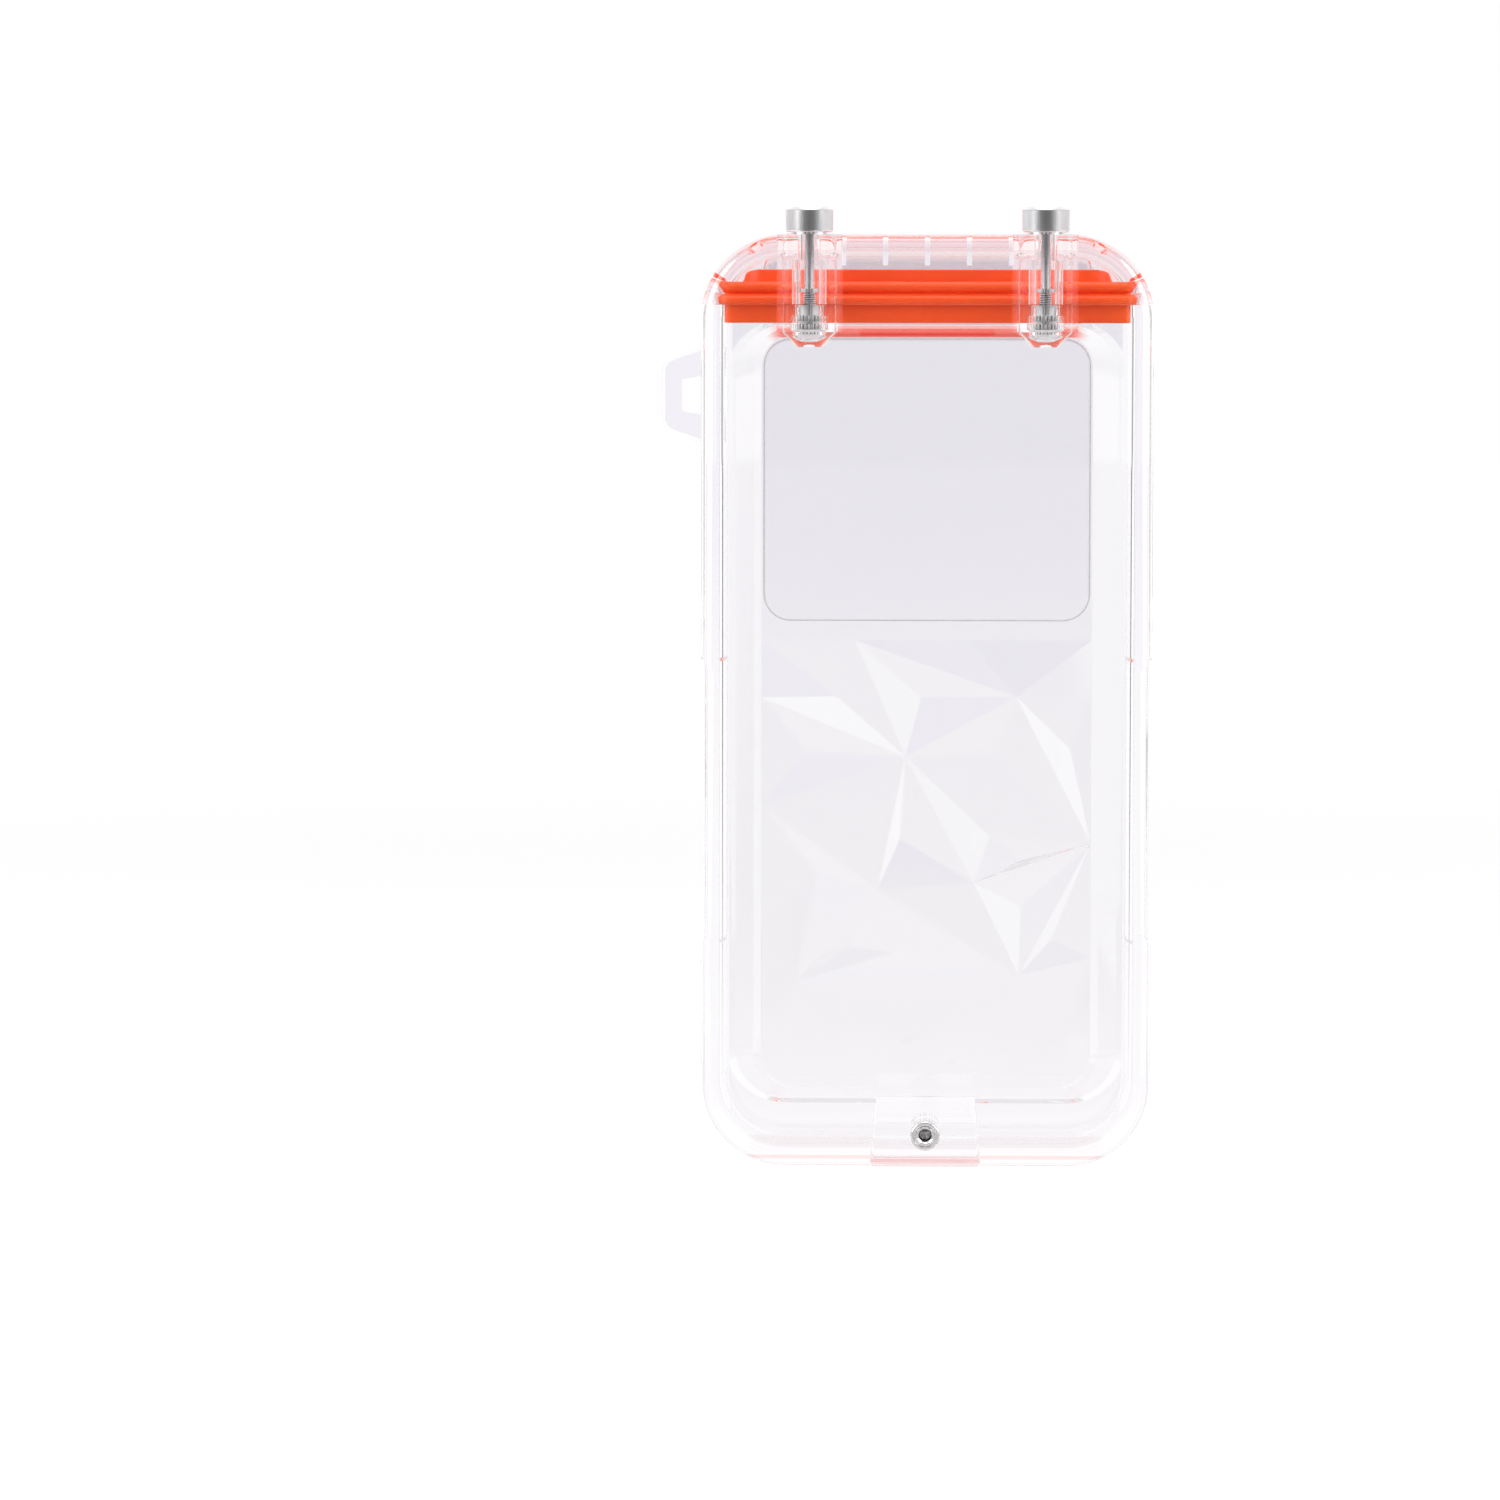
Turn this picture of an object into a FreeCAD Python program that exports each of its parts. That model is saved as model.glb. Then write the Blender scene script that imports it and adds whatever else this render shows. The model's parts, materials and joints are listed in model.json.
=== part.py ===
"""Waterproof phone case: a clear screw-down housing with an orange seal, as a parametric document.

Millimetres. X runs across the case, Y from front to rear and Z up. The origin is the middle of the flat base.
"""
import FreeCAD, Part
import itertools
import math
import os

import Sketcher

Vector = FreeCAD.Vector
LEFT, RIGHT = -1, 1
SIDES = {LEFT: "left", RIGHT: "right"}

doc = FreeCAD.newDocument("waterproof_phone_case")

# Driving dimensions
SIZES = (
    ("body_width", 102.6, "shell and lid, side to side"),
    ("body_height", 212.0, "base to top of the lid"),
    ("body_depth", 24.8, "flat front to flat rear"),
    ("outline_corner", 19.3, "corner radius of the front view"),
    ("edge_round", 3.3, "rounding of the front and rear edges"),
    ("lid_height", 15.9, "shell's rim to the top of the lid"),
    ("seam_gap", 0.15, "gap between lid and rim when the seal is down"),
    ("side_wall", 4.1, "side walls of the shell"),
    ("floor_wall", 5.0, "floor of the shell"),
    ("face_wall", 3.8, "front and rear walls of the shell"),
    ("cavity_round", 2.5, "rounding of the cavity's edges"),
    ("plateau_raise", 3.2, "how far the rear plateau stands out"),
    ("plateau_inset", 4.9, "side of the shell to the plateau's foot"),
    ("plateau_slope", 5.8, "width of the plateau's slanted sides"),
    ("plateau_end_slope", 2.0, "width of its slanted top and bottom"),
    ("plateau_bevel", 2.2, "width of the bevel along the crest's sides"),
    ("plateau_end_bevel", 1.0, "width of that bevel at top and bottom"),
    ("plateau_bevel_height", 0.6, "height of that bevel"),
    ("plateau_bottom", 12.1, "height of the plateau's foot"),
    ("plateau_rim_gap", 3.3, "top of the plateau's foot to the rim"),
    ("plateau_corner", 14.0, "corner radius at the plateau's foot"),
    ("shoulder_corner", 10.5, "corner radius where its bevel starts"),
    ("crest_corner", 9.0, "corner radius at the plateau's crest"),
    ("inner_slope_inset", 2.6, "plateau's foot, outside to inside"),
    ("window_width", 75.6, "camera window"),
    ("window_rim_gap", 7.5, "window's upper edge to the rim"),
    ("window_length", 65.4, "height of the window"),
    ("window_corner", 6.5, "corner radius of the window"),
    ("window_thickness", 2.0, "thickness of the pane"),
    ("window_ledge", 0.9, "width of the ledge that the pane sits on"),
    ("bond_gap", 0.1, "glue line round the pane"),
    ("panel_width", 76.0, "faceted panel"),
    ("panel_bottom", 18.4, "base to the faceted panel"),
    ("panel_window_gap", 4.2, "faceted panel to the window"),
    ("relief_depth", 1.5, "depth of the deepest facets"),
    ("recess_bottom", 50.8, "side grip recess, lower end"),
    ("recess_length", 65.1, "length of the side grip recess"),
    ("recess_skin", 0.8, "depth of the recess in the side"),
    ("recess_step", 4.3, "width of the recess's step in the front corner"),
    ("recess_step_depth", 2.2, "depth of that step"),
    ("screw_spacing", 53.2, "between the two screws"),
    ("boss_diameter", 12.0, "screw boss"),
    ("boss_offset", 3.0, "boss axis in front of the flat front"),
    ("boss_flare", 1.4, "fillet between boss and front"),
    ("boss_length", 9.5, "length of the boss below the rim"),
    ("boss_chamfer", 3.4, "chamfer at the boss's lower end"),
    ("dock_bottom_width", 25.4, "dock block at the base"),
    ("dock_top_width", 22.5, "dock block at its top"),
    ("dock_height", 16.4, "dock block, height"),
    ("dock_reach", 6.0, "dock block in front of the flat front"),
    ("dock_slope_height", 5.3, "height of its sloping top"),
    ("dock_slope_reach", 4.5, "reach of its sloping top"),
    ("dock_edge", 0.7, "rounding of the dock block's edges"),
    ("dock_insert_height", 8.0, "axis of the dock insert"),
    ("dock_insert_diameter", 6.6, "dock insert"),
    ("dock_insert_length", 7.0, "dock insert"),
    ("dock_hole_diameter", 3.0, "threaded hole of the dock insert"),
    ("dock_hole_depth", 5.5, "depth of that hole"),
    ("dock_insert_chamfer", 0.3, "chamfers of the dock insert"),
    ("dock_rim_width", 0.8, "outer rim of its face"),
    ("dock_land_width", 0.6, "inner rim round its hole"),
    ("dock_groove_depth", 0.4, "groove between the two rims"),
    ("loop_rim_gap", 20.6, "lanyard loop's middle to the rim"),
    ("loop_root", 21.8, "length of the loop where it leaves the side"),
    ("loop_outer", 15.4, "length of the loop's outer edge"),
    ("loop_reach", 9.1, "how far the loop stands out"),
    ("loop_thickness", 3.2, "thickness of the loop"),
    ("loop_hole_reach", 4.6, "how far its hole reaches out"),
    ("loop_hole_length", 8.8, "height of its hole"),
    ("loop_hole_taper", 0.8, "how much the hole narrows at each end"),
    ("loop_hole_round", 0.8, "rounding of the hole's corners"),
    ("loop_round", 3.4, "rounding of the loop's outer corners"),
    ("loop_edge", 0.7, "rounding of the loop's front and rear edges"),
    ("lid_top_wall", 3.6, "top wall of the lid"),
    ("lid_wall", 3.8, "side walls of the lid above the seal"),
    ("plug_width", 79.6, "plug that holds the seal"),
    ("plug_depth", 8.8, "plug, front to rear"),
    ("plug_wall", 2.6, "wall of the plug"),
    ("plug_reach", 2.6, "how far the plug reaches below the rim"),
    ("plug_corner", 3.0, "corner radius of the plug"),
    ("rib_thickness", 1.2, "ribs in the lid"),
    ("rib_spacing", 9.5, "between the short ribs"),
    ("rib_height", 3.4, "height of the short ribs"),
    ("seal_gap", 0.2, "seal to the lid's walls and plug"),
    ("sleeve_gap", 0.5, "lower sleeve to the shell's mouth"),
    ("sleeve_reach", 4.1, "lower sleeve below the rim"),
    ("sleeve_wall", 2.4, "wall of the lower sleeve"),
    ("sleeve_roof", 1.0, "web over the lower sleeve's hollow"),
    ("lip_height", 2.4, "height of each lip"),
    ("lip_groove", 0.4, "groove between the lips"),
    ("lower_lip_overhang", 1.7, "lower lip beyond the shell's mouth"),
    ("upper_lip_overhang", 0.5, "upper lip beyond the shell's mouth"),
    ("lip_round", 0.9, "rounding of the lips' edges"),
    ("upper_sleeve_wall", 2.0, "wall of the upper sleeve"),
    ("upper_sleeve_height", 2.8, "upper sleeve above the lips"),
    ("bore_diameter", 3.4, "screw's clearance bore in the lid"),
    ("counterbore_diameter", 5.4, "bore that the retaining ring runs in"),
    ("counterbore_depth", 10.1, "depth of that bore above the rim"),
    ("head_diameter", 10.8, "thumb screw head"),
    ("head_height", 5.7, "thumb screw head"),
    ("head_chamfer", 0.7, "chamfers of the head"),
    ("waist_diameter", 2.3, "waist of the thumb screw"),
    ("thread_diameter", 3.0, "thread of the thumb screw"),
    ("thread_length", 8.0, "threaded end"),
    ("thread_chamfer", 0.4, "chamfer at the thread's tip"),
    ("thread_engagement", 5.2, "thread below the rim"),
    ("thread_clearance", 0.1, "radial gap between thread and insert"),
    ("washer_thickness", 0.4, "washer under the head"),
    ("washer_diameter", 9.0, "washer under the head"),
    ("ring_diameter", 4.8, "retaining ring"),
    ("ring_thickness", 0.8, "retaining ring"),
    ("ring_gap", 0.05, "running gap of ring and washer"),
    ("insert_length", 6.7, "threaded insert below the rim"),
    ("insert_barrel_diameter", 5.3, "barrel of the insert"),
    ("insert_barrel_length", 3.2, "barrel above the rounded end"),
    ("insert_neck_diameter", 4.4, "neck of the insert"),
    ("insert_dome", 1.1, "height of the insert's rounded end"),
    ("insert_hole_depth", 5.7, "depth of the insert's thread"),
    ("overlap", 1.0, "how far joined and cutting solids reach past a face"),
)

sheet = doc.addObject("Spreadsheet::Sheet", "Sizes")
for row, (alias, number, meaning) in enumerate(SIZES, start=1):
    sheet.set("A%d" % row, alias)
    sheet.set("B%d" % row, str(number))
    sheet.set("C%d" % row, meaning)
    sheet.setAlias("B%d" % row, alias)
doc.recompute()

# Places and sizes that follow from the driving dimensions
FRONT = "(-Sizes.body_depth / 2)"
REAR = "(Sizes.body_depth / 2)"
CREST = "(Sizes.body_depth / 2 + Sizes.plateau_raise)"
RIM = "(Sizes.body_height - Sizes.lid_height)"
CAVITY_WIDTH = "(Sizes.body_width - 2 * Sizes.side_wall)"
CAVITY_DEPTH = "(Sizes.body_depth - 2 * Sizes.face_wall)"
CAVITY_CORNER = "(Sizes.outline_corner - Sizes.side_wall)"
LID_BOTTOM = "(%s + Sizes.seam_gap)" % RIM
LID_CEILING = "(Sizes.body_height - Sizes.lid_top_wall)"
LIP_TOP = "(%s + 2 * Sizes.lip_height + Sizes.lip_groove)" % RIM
SCREW_Y = "(-Sizes.body_depth / 2 - Sizes.boss_offset)"
HEAD_SEAT = "(Sizes.body_height + Sizes.washer_thickness)"
THREAD_TOP = "(%s - Sizes.thread_engagement + Sizes.thread_length)" % RIM
WINDOW_BOTTOM = "(%s - Sizes.window_rim_gap - Sizes.window_length)" % RIM
PANEL_LENGTH = "(%s - Sizes.panel_window_gap - Sizes.panel_bottom)" % WINDOW_BOTTOM
LOOP_MIDDLE = "(%s - Sizes.loop_rim_gap)" % RIM
WIDE, DEEP = "2 * Sizes.body_width", "3 * Sizes.body_depth"


def value(expression):
    """Work out an expression of the driving dimensions as a plain number."""
    return float(sheet.evalExpression(expression))


def bind(target, **expressions):
    """Bind properties of an object to expressions; a double underscore stands for a dot."""
    for name, expression in expressions.items():
        target.setExpression(name.replace("__", "."), expression)
    return target


def add_body(name):
    """Start a body with a name of its own."""
    body = doc.addObject("PartDesign::Body", name)
    body.Label = name
    return body


def add_sketch(body, name, plane, across="0", up="0", lift="0"):
    """Start a sketch on one of the body's own origin planes, moved within it and along its normal."""
    sketch = body.newObject("Sketcher::SketchObject", name)
    support = next(item for item in body.Origin.OriginFeatures if item.Role == plane)
    sketch.AttachmentSupport = (support, [""])
    sketch.MapMode = "FlatFace"
    sketch.AttachmentOffset = FreeCAD.Placement(Vector(value(across), value(up), value(lift)), FreeCAD.Rotation())
    return bind(sketch, AttachmentOffset__Base__x=across, AttachmentOffset__Base__y=up,
                AttachmentOffset__Base__z=lift)


def drive(sketch, kind, *where, by):
    """Add a dimension to a sketch and bind it to an expression."""
    number = sketch.addConstraint(Sketcher.Constraint(kind, *where, value(by)))
    sketch.setExpression("Constraints[%d]" % number, by)


def rounded_frame(body, name, plane, width, height, corner, across="0", up="0", lift="0"):
    """Sketch a rounded rectangle, centred on the sketch's vertical axis and standing on its horizontal one."""
    sketch = add_sketch(body, name, plane, across, up, lift)
    half, top, radius = value(width) / 2, value(height), value(corner)
    inner, low, high = half - radius, radius, top - radius

    def line(x1, y1, x2, y2):
        sketch.addGeometry(Part.LineSegment(Vector(x1, y1, 0), Vector(x2, y2, 0)), False)

    def arc(x, y, start):
        circle = Part.Circle(Vector(x, y, 0), Vector(0, 0, 1), radius)
        sketch.addGeometry(Part.ArcOfCircle(circle, start, start + math.pi / 2), False)

    line(-inner, 0, inner, 0)
    arc(inner, low, -math.pi / 2)
    line(half, low, half, high)
    arc(inner, high, 0)
    line(inner, top, -inner, top)
    arc(-inner, high, math.pi / 2)
    line(-half, high, -half, low)
    arc(-inner, low, math.pi)
    for item in range(8):
        sketch.addConstraint(Sketcher.Constraint("Tangent", item, 2, (item + 1) % 8, 1))
    sketch.addConstraint(Sketcher.Constraint("Horizontal", 4))
    for item in (2, 6):
        sketch.addConstraint(Sketcher.Constraint("Vertical", item))
    for item in (3, 5, 7):
        sketch.addConstraint(Sketcher.Constraint("Equal", 1, item))
    sketch.addConstraint(Sketcher.Constraint("Symmetric", 0, 1, 0, 2, -2))
    sketch.addConstraint(Sketcher.Constraint("PointOnObject", 0, 1, -1))
    drive(sketch, "Radius", 1, by=corner)
    drive(sketch, "DistanceX", 6, 1, 2, 1, by=width)
    drive(sketch, "DistanceY", 0, 1, 4, 1, by=height)
    return sketch


def corner_frame(body, name, plane, corners, across="0", up="0", lift="0"):
    """Sketch a straight-sided outline through corners that are pairs of expressions."""
    sketch = add_sketch(body, name, plane, across, up, lift)
    points = [Vector(value(x), value(y), 0) for x, y in corners]
    count = len(points)
    for item, point in enumerate(points):
        sketch.addGeometry(Part.LineSegment(point, points[(item + 1) % count]), False)
    for item in range(count):
        sketch.addConstraint(Sketcher.Constraint("Coincident", item, 2, (item + 1) % count, 1))
    for item, (x, y) in enumerate(corners):
        drive(sketch, "DistanceX", -1, 1, item, 1, by=x)
        drive(sketch, "DistanceY", -1, 1, item, 1, by=y)
    return sketch


def pad(body, name, sketch, length, middle=False, pocket=False):
    """Pad or pocket a sketch along its normal, or to both sides of it alike."""
    feature = body.newObject("PartDesign::Pocket" if pocket else "PartDesign::Pad", name)
    feature.Profile = sketch
    if middle:
        feature.SideType = "Symmetric"
    if pocket and not middle:
        feature.Reversed = True
    feature.Length = value(length)
    bind(feature, Length=length)
    doc.recompute()
    return feature


def soften(body, name, feature, radius, chosen, kind="Fillet"):
    """Round or chamfer the edges of a feature that a test on their bounding box chooses."""
    edges = [
        "Edge%d" % number
        for number, edge in enumerate(feature.Shape.Edges, start=1)
        if chosen(edge.BoundBox)
    ]
    soft = body.newObject("PartDesign::" + kind, name)
    soft.Base = (feature, edges)
    size = "Radius" if kind == "Fillet" else "Size"
    setattr(soft, size, value(radius))
    soft.setExpression(size, radius)
    doc.recompute()
    return soft


def level(low, high, place):
    """Say whether a bounding box's side from low to high lies flat at a place."""
    return abs(low - place) < 0.01 and abs(high - place) < 0.01


def fuse(name, pieces):
    """Fuse pieces into one."""
    joined = doc.addObject("Part::MultiFuse", name)
    joined.Label = name
    joined.Shapes = pieces
    joined.Refine = True
    doc.recompute()
    return joined


def cut(name, base, tool):
    """Cut a tool out of a piece."""
    rest = doc.addObject("Part::Cut", name)
    rest.Label = name
    rest.Base = base
    rest.Tool = tool
    rest.Refine = True
    doc.recompute()
    return rest


def box(name, width, depth, height, across, along, up):
    """Place a box by its middle across, its front and its bottom."""
    item = doc.addObject("Part::Box", name)
    return bind(item, Length=width, Width=depth, Height=height,
                Placement__Base__x="%s - (%s) / 2" % (across, width), Placement__Base__y=along,
                Placement__Base__z=up)


def rod(name, radius, height, across, along, up):
    """Place an upright cylinder by its axis and bottom."""
    item = doc.addObject("Part::Cylinder", name)
    return bind(item, Radius=radius, Height=height, Placement__Base__x=across, Placement__Base__y=along,
                Placement__Base__z=up)


def turned(name, profile, across, along, up, axis="Z"):
    """Turn a half profile of (radius, height) corners about an upright axis, or one that points forward."""
    body = add_body(name)
    sketch = corner_frame(body, name + "_profile", "XZ_Plane", profile)
    feature = body.newObject("PartDesign::Revolution", name + "_turning")
    feature.Profile = sketch
    feature.ReferenceAxis = (sketch, ["V_Axis"])
    feature.Angle = 360
    if axis == "Y":
        body.Placement.Rotation = FreeCAD.Rotation(Vector(1, 0, 0), 90)
    bind(body, Placement__Base__x=across, Placement__Base__y=along, Placement__Base__z=up)
    doc.recompute()
    return body


def screw_x(side):
    """Give the place across of one screw's axis."""
    return "(%d * Sizes.screw_spacing / 2)" % side


# Outer form of shell and lid
def outline_block(name):
    """Build the block with the case's front outline and rounded front and rear edges."""
    body = add_body(name)
    frame = rounded_frame(body, name + "_outline", "XZ_Plane", "Sizes.body_width", "Sizes.body_height",
                          "Sizes.outline_corner")
    block = pad(body, name + "_pad", frame, "Sizes.body_depth", middle=True)
    soften(body, name + "_edges", block, "Sizes.edge_round",
           lambda b: level(b.YMin, b.YMax, value(FRONT)) or level(b.YMin, b.YMax, value(REAR)))
    return body


def screw_boss(name, side, bottom, length, chamfered):
    """Build one screw boss: a half-round front, straight sides and fillets where it meets the front wall."""
    body = add_body(name)
    sketch = add_sketch(body, name + "_profile", "XY_Plane", screw_x(side), SCREW_Y, bottom)
    radius, offset, flare = value("Sizes.boss_diameter / 2"), value("Sizes.boss_offset"), value("Sizes.boss_flare")
    root = value("Sizes.face_wall")
    wide, back = radius + flare, offset + root

    def line(x1, y1, x2, y2):
        sketch.addGeometry(Part.LineSegment(Vector(x1, y1, 0), Vector(x2, y2, 0)), False)

    def arc(x, y, size, start, end):
        circle = Part.Circle(Vector(x, y, 0), Vector(0, 0, 1), size)
        sketch.addGeometry(Part.ArcOfCircle(circle, start, end), False)

    arc(0, 0, radius, math.pi, 2 * math.pi)
    line(radius, 0, radius, offset - flare)
    arc(wide, offset - flare, flare, math.pi / 2, math.pi)
    line(wide, offset, wide, back)
    line(wide, back, -wide, back)
    line(-wide, back, -wide, offset)
    arc(-wide, offset - flare, flare, 0, math.pi / 2)
    line(-radius, offset - flare, -radius, 0)
    for rule in (("Coincident", 0, 3, -1, 1), ("Tangent", 0, 2, 1, 1), ("Vertical", 1), ("Tangent", 1, 2, 2, 2),
                 ("Coincident", 2, 1, 3, 1), ("Vertical", 3), ("Coincident", 3, 2, 4, 1), ("Horizontal", 4),
                 ("Coincident", 4, 2, 5, 1), ("Vertical", 5), ("Coincident", 5, 2, 6, 2), ("Equal", 2, 6),
                 ("Tangent", 6, 1, 7, 1), ("Tangent", 7, 2, 0, 1), ("Vertical", 7), ("Vertical", 2, 3, 2, 1),
                 ("Vertical", 6, 3, 6, 2), ("Horizontal", 2, 1, 6, 2)):
        sketch.addConstraint(Sketcher.Constraint(*rule))
    drive(sketch, "Radius", 0, by="Sizes.boss_diameter / 2")
    drive(sketch, "Radius", 2, by="Sizes.boss_flare")
    drive(sketch, "DistanceY", -1, 1, 2, 1, by="Sizes.boss_offset")
    drive(sketch, "DistanceY", -1, 1, 3, 2, by="Sizes.boss_offset + Sizes.face_wall")
    boss = pad(body, name + "_pad", sketch, length)
    if chamfered:
        soften(body, name + "_tip", boss, "Sizes.boss_chamfer",
               lambda b: level(b.ZMin, b.ZMax, value(bottom)) and (b.YMin + b.YMax) / 2 < value(FRONT),
               kind="Chamfer")
    return body


# Rear plateau, outside and inside
def plateau(name, foot_y, inset, bottom, top, steps):
    """Build the raised plateau as a straight loft from its foot through steps of (raise, side, end, corner)."""
    body = add_body(name)
    sections = []
    for number, (raised, side, end, corner) in enumerate(steps):
        sections.append(rounded_frame(
            body, "%s_section_%d" % (name, number), "XZ_Plane",
            "(Sizes.body_width - 2 * %s - 2 * %s)" % (inset, side), "(%s - %s - 2 * %s)" % (top, bottom, end),
            corner, up="%s + %s" % (bottom, end), lift="-(%s + %s)" % (foot_y, raised)))
    feature = body.newObject("PartDesign::AdditiveLoft", name + "_loft")
    feature.Profile = sections[0]
    feature.Sections = sections[1:]
    feature.Ruled = True
    doc.recompute()
    return body


PLATEAU_TOP = "(%s - Sizes.plateau_rim_gap)" % RIM
outer_plateau = plateau("outer_plateau", REAR, "Sizes.plateau_inset", "Sizes.plateau_bottom", PLATEAU_TOP, (
    ("0", "0", "0", "Sizes.plateau_corner"),
    ("Sizes.plateau_raise - Sizes.plateau_bevel_height", "Sizes.plateau_slope", "Sizes.plateau_end_slope",
     "Sizes.shoulder_corner"),
    ("Sizes.plateau_raise", "(Sizes.plateau_slope + Sizes.plateau_bevel)",
     "(Sizes.plateau_end_slope + Sizes.plateau_end_bevel)", "Sizes.crest_corner"),
))
inner_plateau = plateau("inner_plateau", "(%s / 2)" % CAVITY_DEPTH,
                        "(Sizes.plateau_inset + Sizes.inner_slope_inset)",
                        "(Sizes.plateau_bottom + Sizes.inner_slope_inset / 2)",
                        "(%s - Sizes.inner_slope_inset / 2)" % PLATEAU_TOP, (
    ("0", "0", "0", "Sizes.plateau_corner - Sizes.inner_slope_inset"),
    ("Sizes.plateau_raise", "Sizes.plateau_slope", "Sizes.plateau_end_slope",
     "Sizes.shoulder_corner - Sizes.inner_slope_inset"),
))


# Cavity
def cavity_block():
    """Build the space for the phone, open at the rim."""
    body = add_body("cavity_block")
    frame = rounded_frame(body, "cavity_outline", "XZ_Plane", CAVITY_WIDTH,
                          "Sizes.body_height - Sizes.floor_wall + Sizes.outline_corner", CAVITY_CORNER,
                          up="Sizes.floor_wall")
    block = pad(body, "cavity_pad", frame, CAVITY_DEPTH, middle=True)
    half = value(CAVITY_DEPTH) / 2
    soften(body, "cavity_edges", block, "Sizes.cavity_round",
           lambda b: level(b.YMin, b.YMax, -half) or level(b.YMin, b.YMax, half))
    return body


# Camera window
def window_prism(name, shrink, rear, thickness):
    """Build a prism of the window's outline, smaller all round by an amount, from a rear plane forward."""
    body = add_body(name)
    frame = rounded_frame(body, name + "_outline", "XZ_Plane", "Sizes.window_width - 2 * %s" % shrink,
                          "Sizes.window_length - 2 * %s" % shrink, "Sizes.window_corner - %s" % shrink,
                          up="%s + %s" % (WINDOW_BOTTOM, shrink), lift="-%s" % rear)
    pad(body, name + "_pad", frame, thickness)
    return body


# Faceted relief
HUB, RIDGE, EDGE = 1.0, 0.15, 0.4
FACET_POINTS = {
    "centre": (-0.126, 0.733, HUB), "low_right": (0.566, 0.230, HUB), "high_right": (0.545, 0.871, HUB),
    "left_high": (-1.0, 0.868, HUB), "right_mid": (1.0, 0.535, HUB), "left_mid": (-1.0, 0.621, HUB),
    "low_left": (-0.295, 0.427, HUB), "top": (-0.432, 1.0, HUB), "middle": (0.292, 0.443, HUB),
    "foot_left": (-0.789, 0.214, HUB),
    "ridge_a": (-0.032, 0.868, RIDGE), "ridge_b": (-0.545, 0.871, RIDGE), "ridge_c": (-0.724, 0.745, RIDGE),
    "ridge_d": (0.871, 0.752, RIDGE), "ridge_e": (0.387, 0.550, RIDGE), "ridge_f": (0.576, 0.388, RIDGE),
    "ridge_g": (0.429, 0.741, RIDGE), "ridge_h": (-0.660, 0.463, RIDGE), "ridge_i": (-0.158, 0.543, RIDGE),
    "ridge_j": (-0.453, 0.296, RIDGE), "ridge_k": (-0.200, 0.280, RIDGE), "ridge_l": (-0.116, 0.066, RIDGE),
    "ridge_m": (0.763, 0.312, RIDGE), "ridge_n": (0.579, 0.495, RIDGE), "ridge_o": (0.861, 0.105, RIDGE),
    "edge_a": (-1.0, 1.0, EDGE), "edge_b": (0.25, 1.0, EDGE), "edge_c": (1.0, 1.0, EDGE),
    "edge_d": (1.0, 0.870, EDGE), "edge_e": (1.0, 0.270, EDGE), "edge_f": (1.0, 0.080, EDGE),
    "edge_g": (0.86, 0.0, EDGE), "edge_h": (0.324, 0.0, EDGE), "edge_i": (-0.40, 0.0, EDGE),
    "edge_j": (-0.86, 0.0, EDGE), "edge_k": (-1.0, 0.080, EDGE), "edge_l": (-1.0, 0.340, EDGE),
}
CREASES = (
    ("top", "centre"), ("left_high", "centre"), ("left_high", "left_mid"), ("high_right", "right_mid"),
    ("centre", "middle"), ("middle", "low_right"), ("low_left", "low_right"), ("foot_left", "low_right"),
    ("top", "high_right"), ("high_right", "edge_c"), ("left_mid", "low_left"), ("low_left", "centre"),
    ("low_left", "foot_left"), ("low_right", "right_mid"), ("middle", "right_mid"), ("ridge_g", "centre"),
    ("ridge_g", "right_mid"), ("ridge_c", "centre"), ("left_mid", "centre"), ("high_right", "centre"),
)


def turn_of(a, b, c):
    """Say which way, and how far, c lies from the line from a to b, on the panel."""
    return (b[0] - a[0]) * (c[1] - a[1]) - (b[1] - a[1]) * (c[0] - a[0])


def facet_network(points, creases):
    """Join the points by the creases, then by the shortest lines that cross nothing, and give the triangles."""
    def length(pair):
        (x1, y1), (x2, y2) = (points[name][:2] for name in pair)
        return math.hypot((x2 - x1) * value("Sizes.panel_width / 2"), (y2 - y1) * value(PANEL_LENGTH))

    def crosses(pair, other):
        if set(pair) & set(other):
            return False
        (a, b), (c, d) = ([points[name] for name in ends] for ends in (pair, other))
        return turn_of(a, b, c) * turn_of(a, b, d) < 0 and turn_of(c, d, a) * turn_of(c, d, b) < 0

    def passes_a_point(pair):
        a, b = (points[name] for name in pair)
        between = (p for name, p in points.items() if name not in pair and abs(turn_of(a, b, p)) < 1e-9)
        return any(min(a[0], b[0]) <= p[0] <= max(a[0], b[0]) and min(a[1], b[1]) <= p[1] <= max(a[1], b[1])
                   for p in between)

    lines = []
    for pair in [*creases, *sorted(itertools.combinations(points, 2), key=length)]:
        if set(pair) not in map(set, lines) and not passes_a_point(pair):
            if not any(crosses(pair, other) for other in lines):
                lines.append(pair)
    linked = {frozenset(pair) for pair in lines}
    facets = []
    for trio in itertools.combinations(points, 3):
        if not all(frozenset(pair) in linked for pair in itertools.combinations(trio, 2)):
            continue
        a, b, c = (points[name] for name in trio)
        sign = turn_of(a, b, c)
        inside = (p for name, p in points.items() if name not in trio)
        if not any(turn_of(a, b, p) * sign > 0 and turn_of(b, c, p) * sign > 0 and turn_of(c, a, p) * sign > 0
                   for p in inside):
            facets.append(trio)
    return facets


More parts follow.
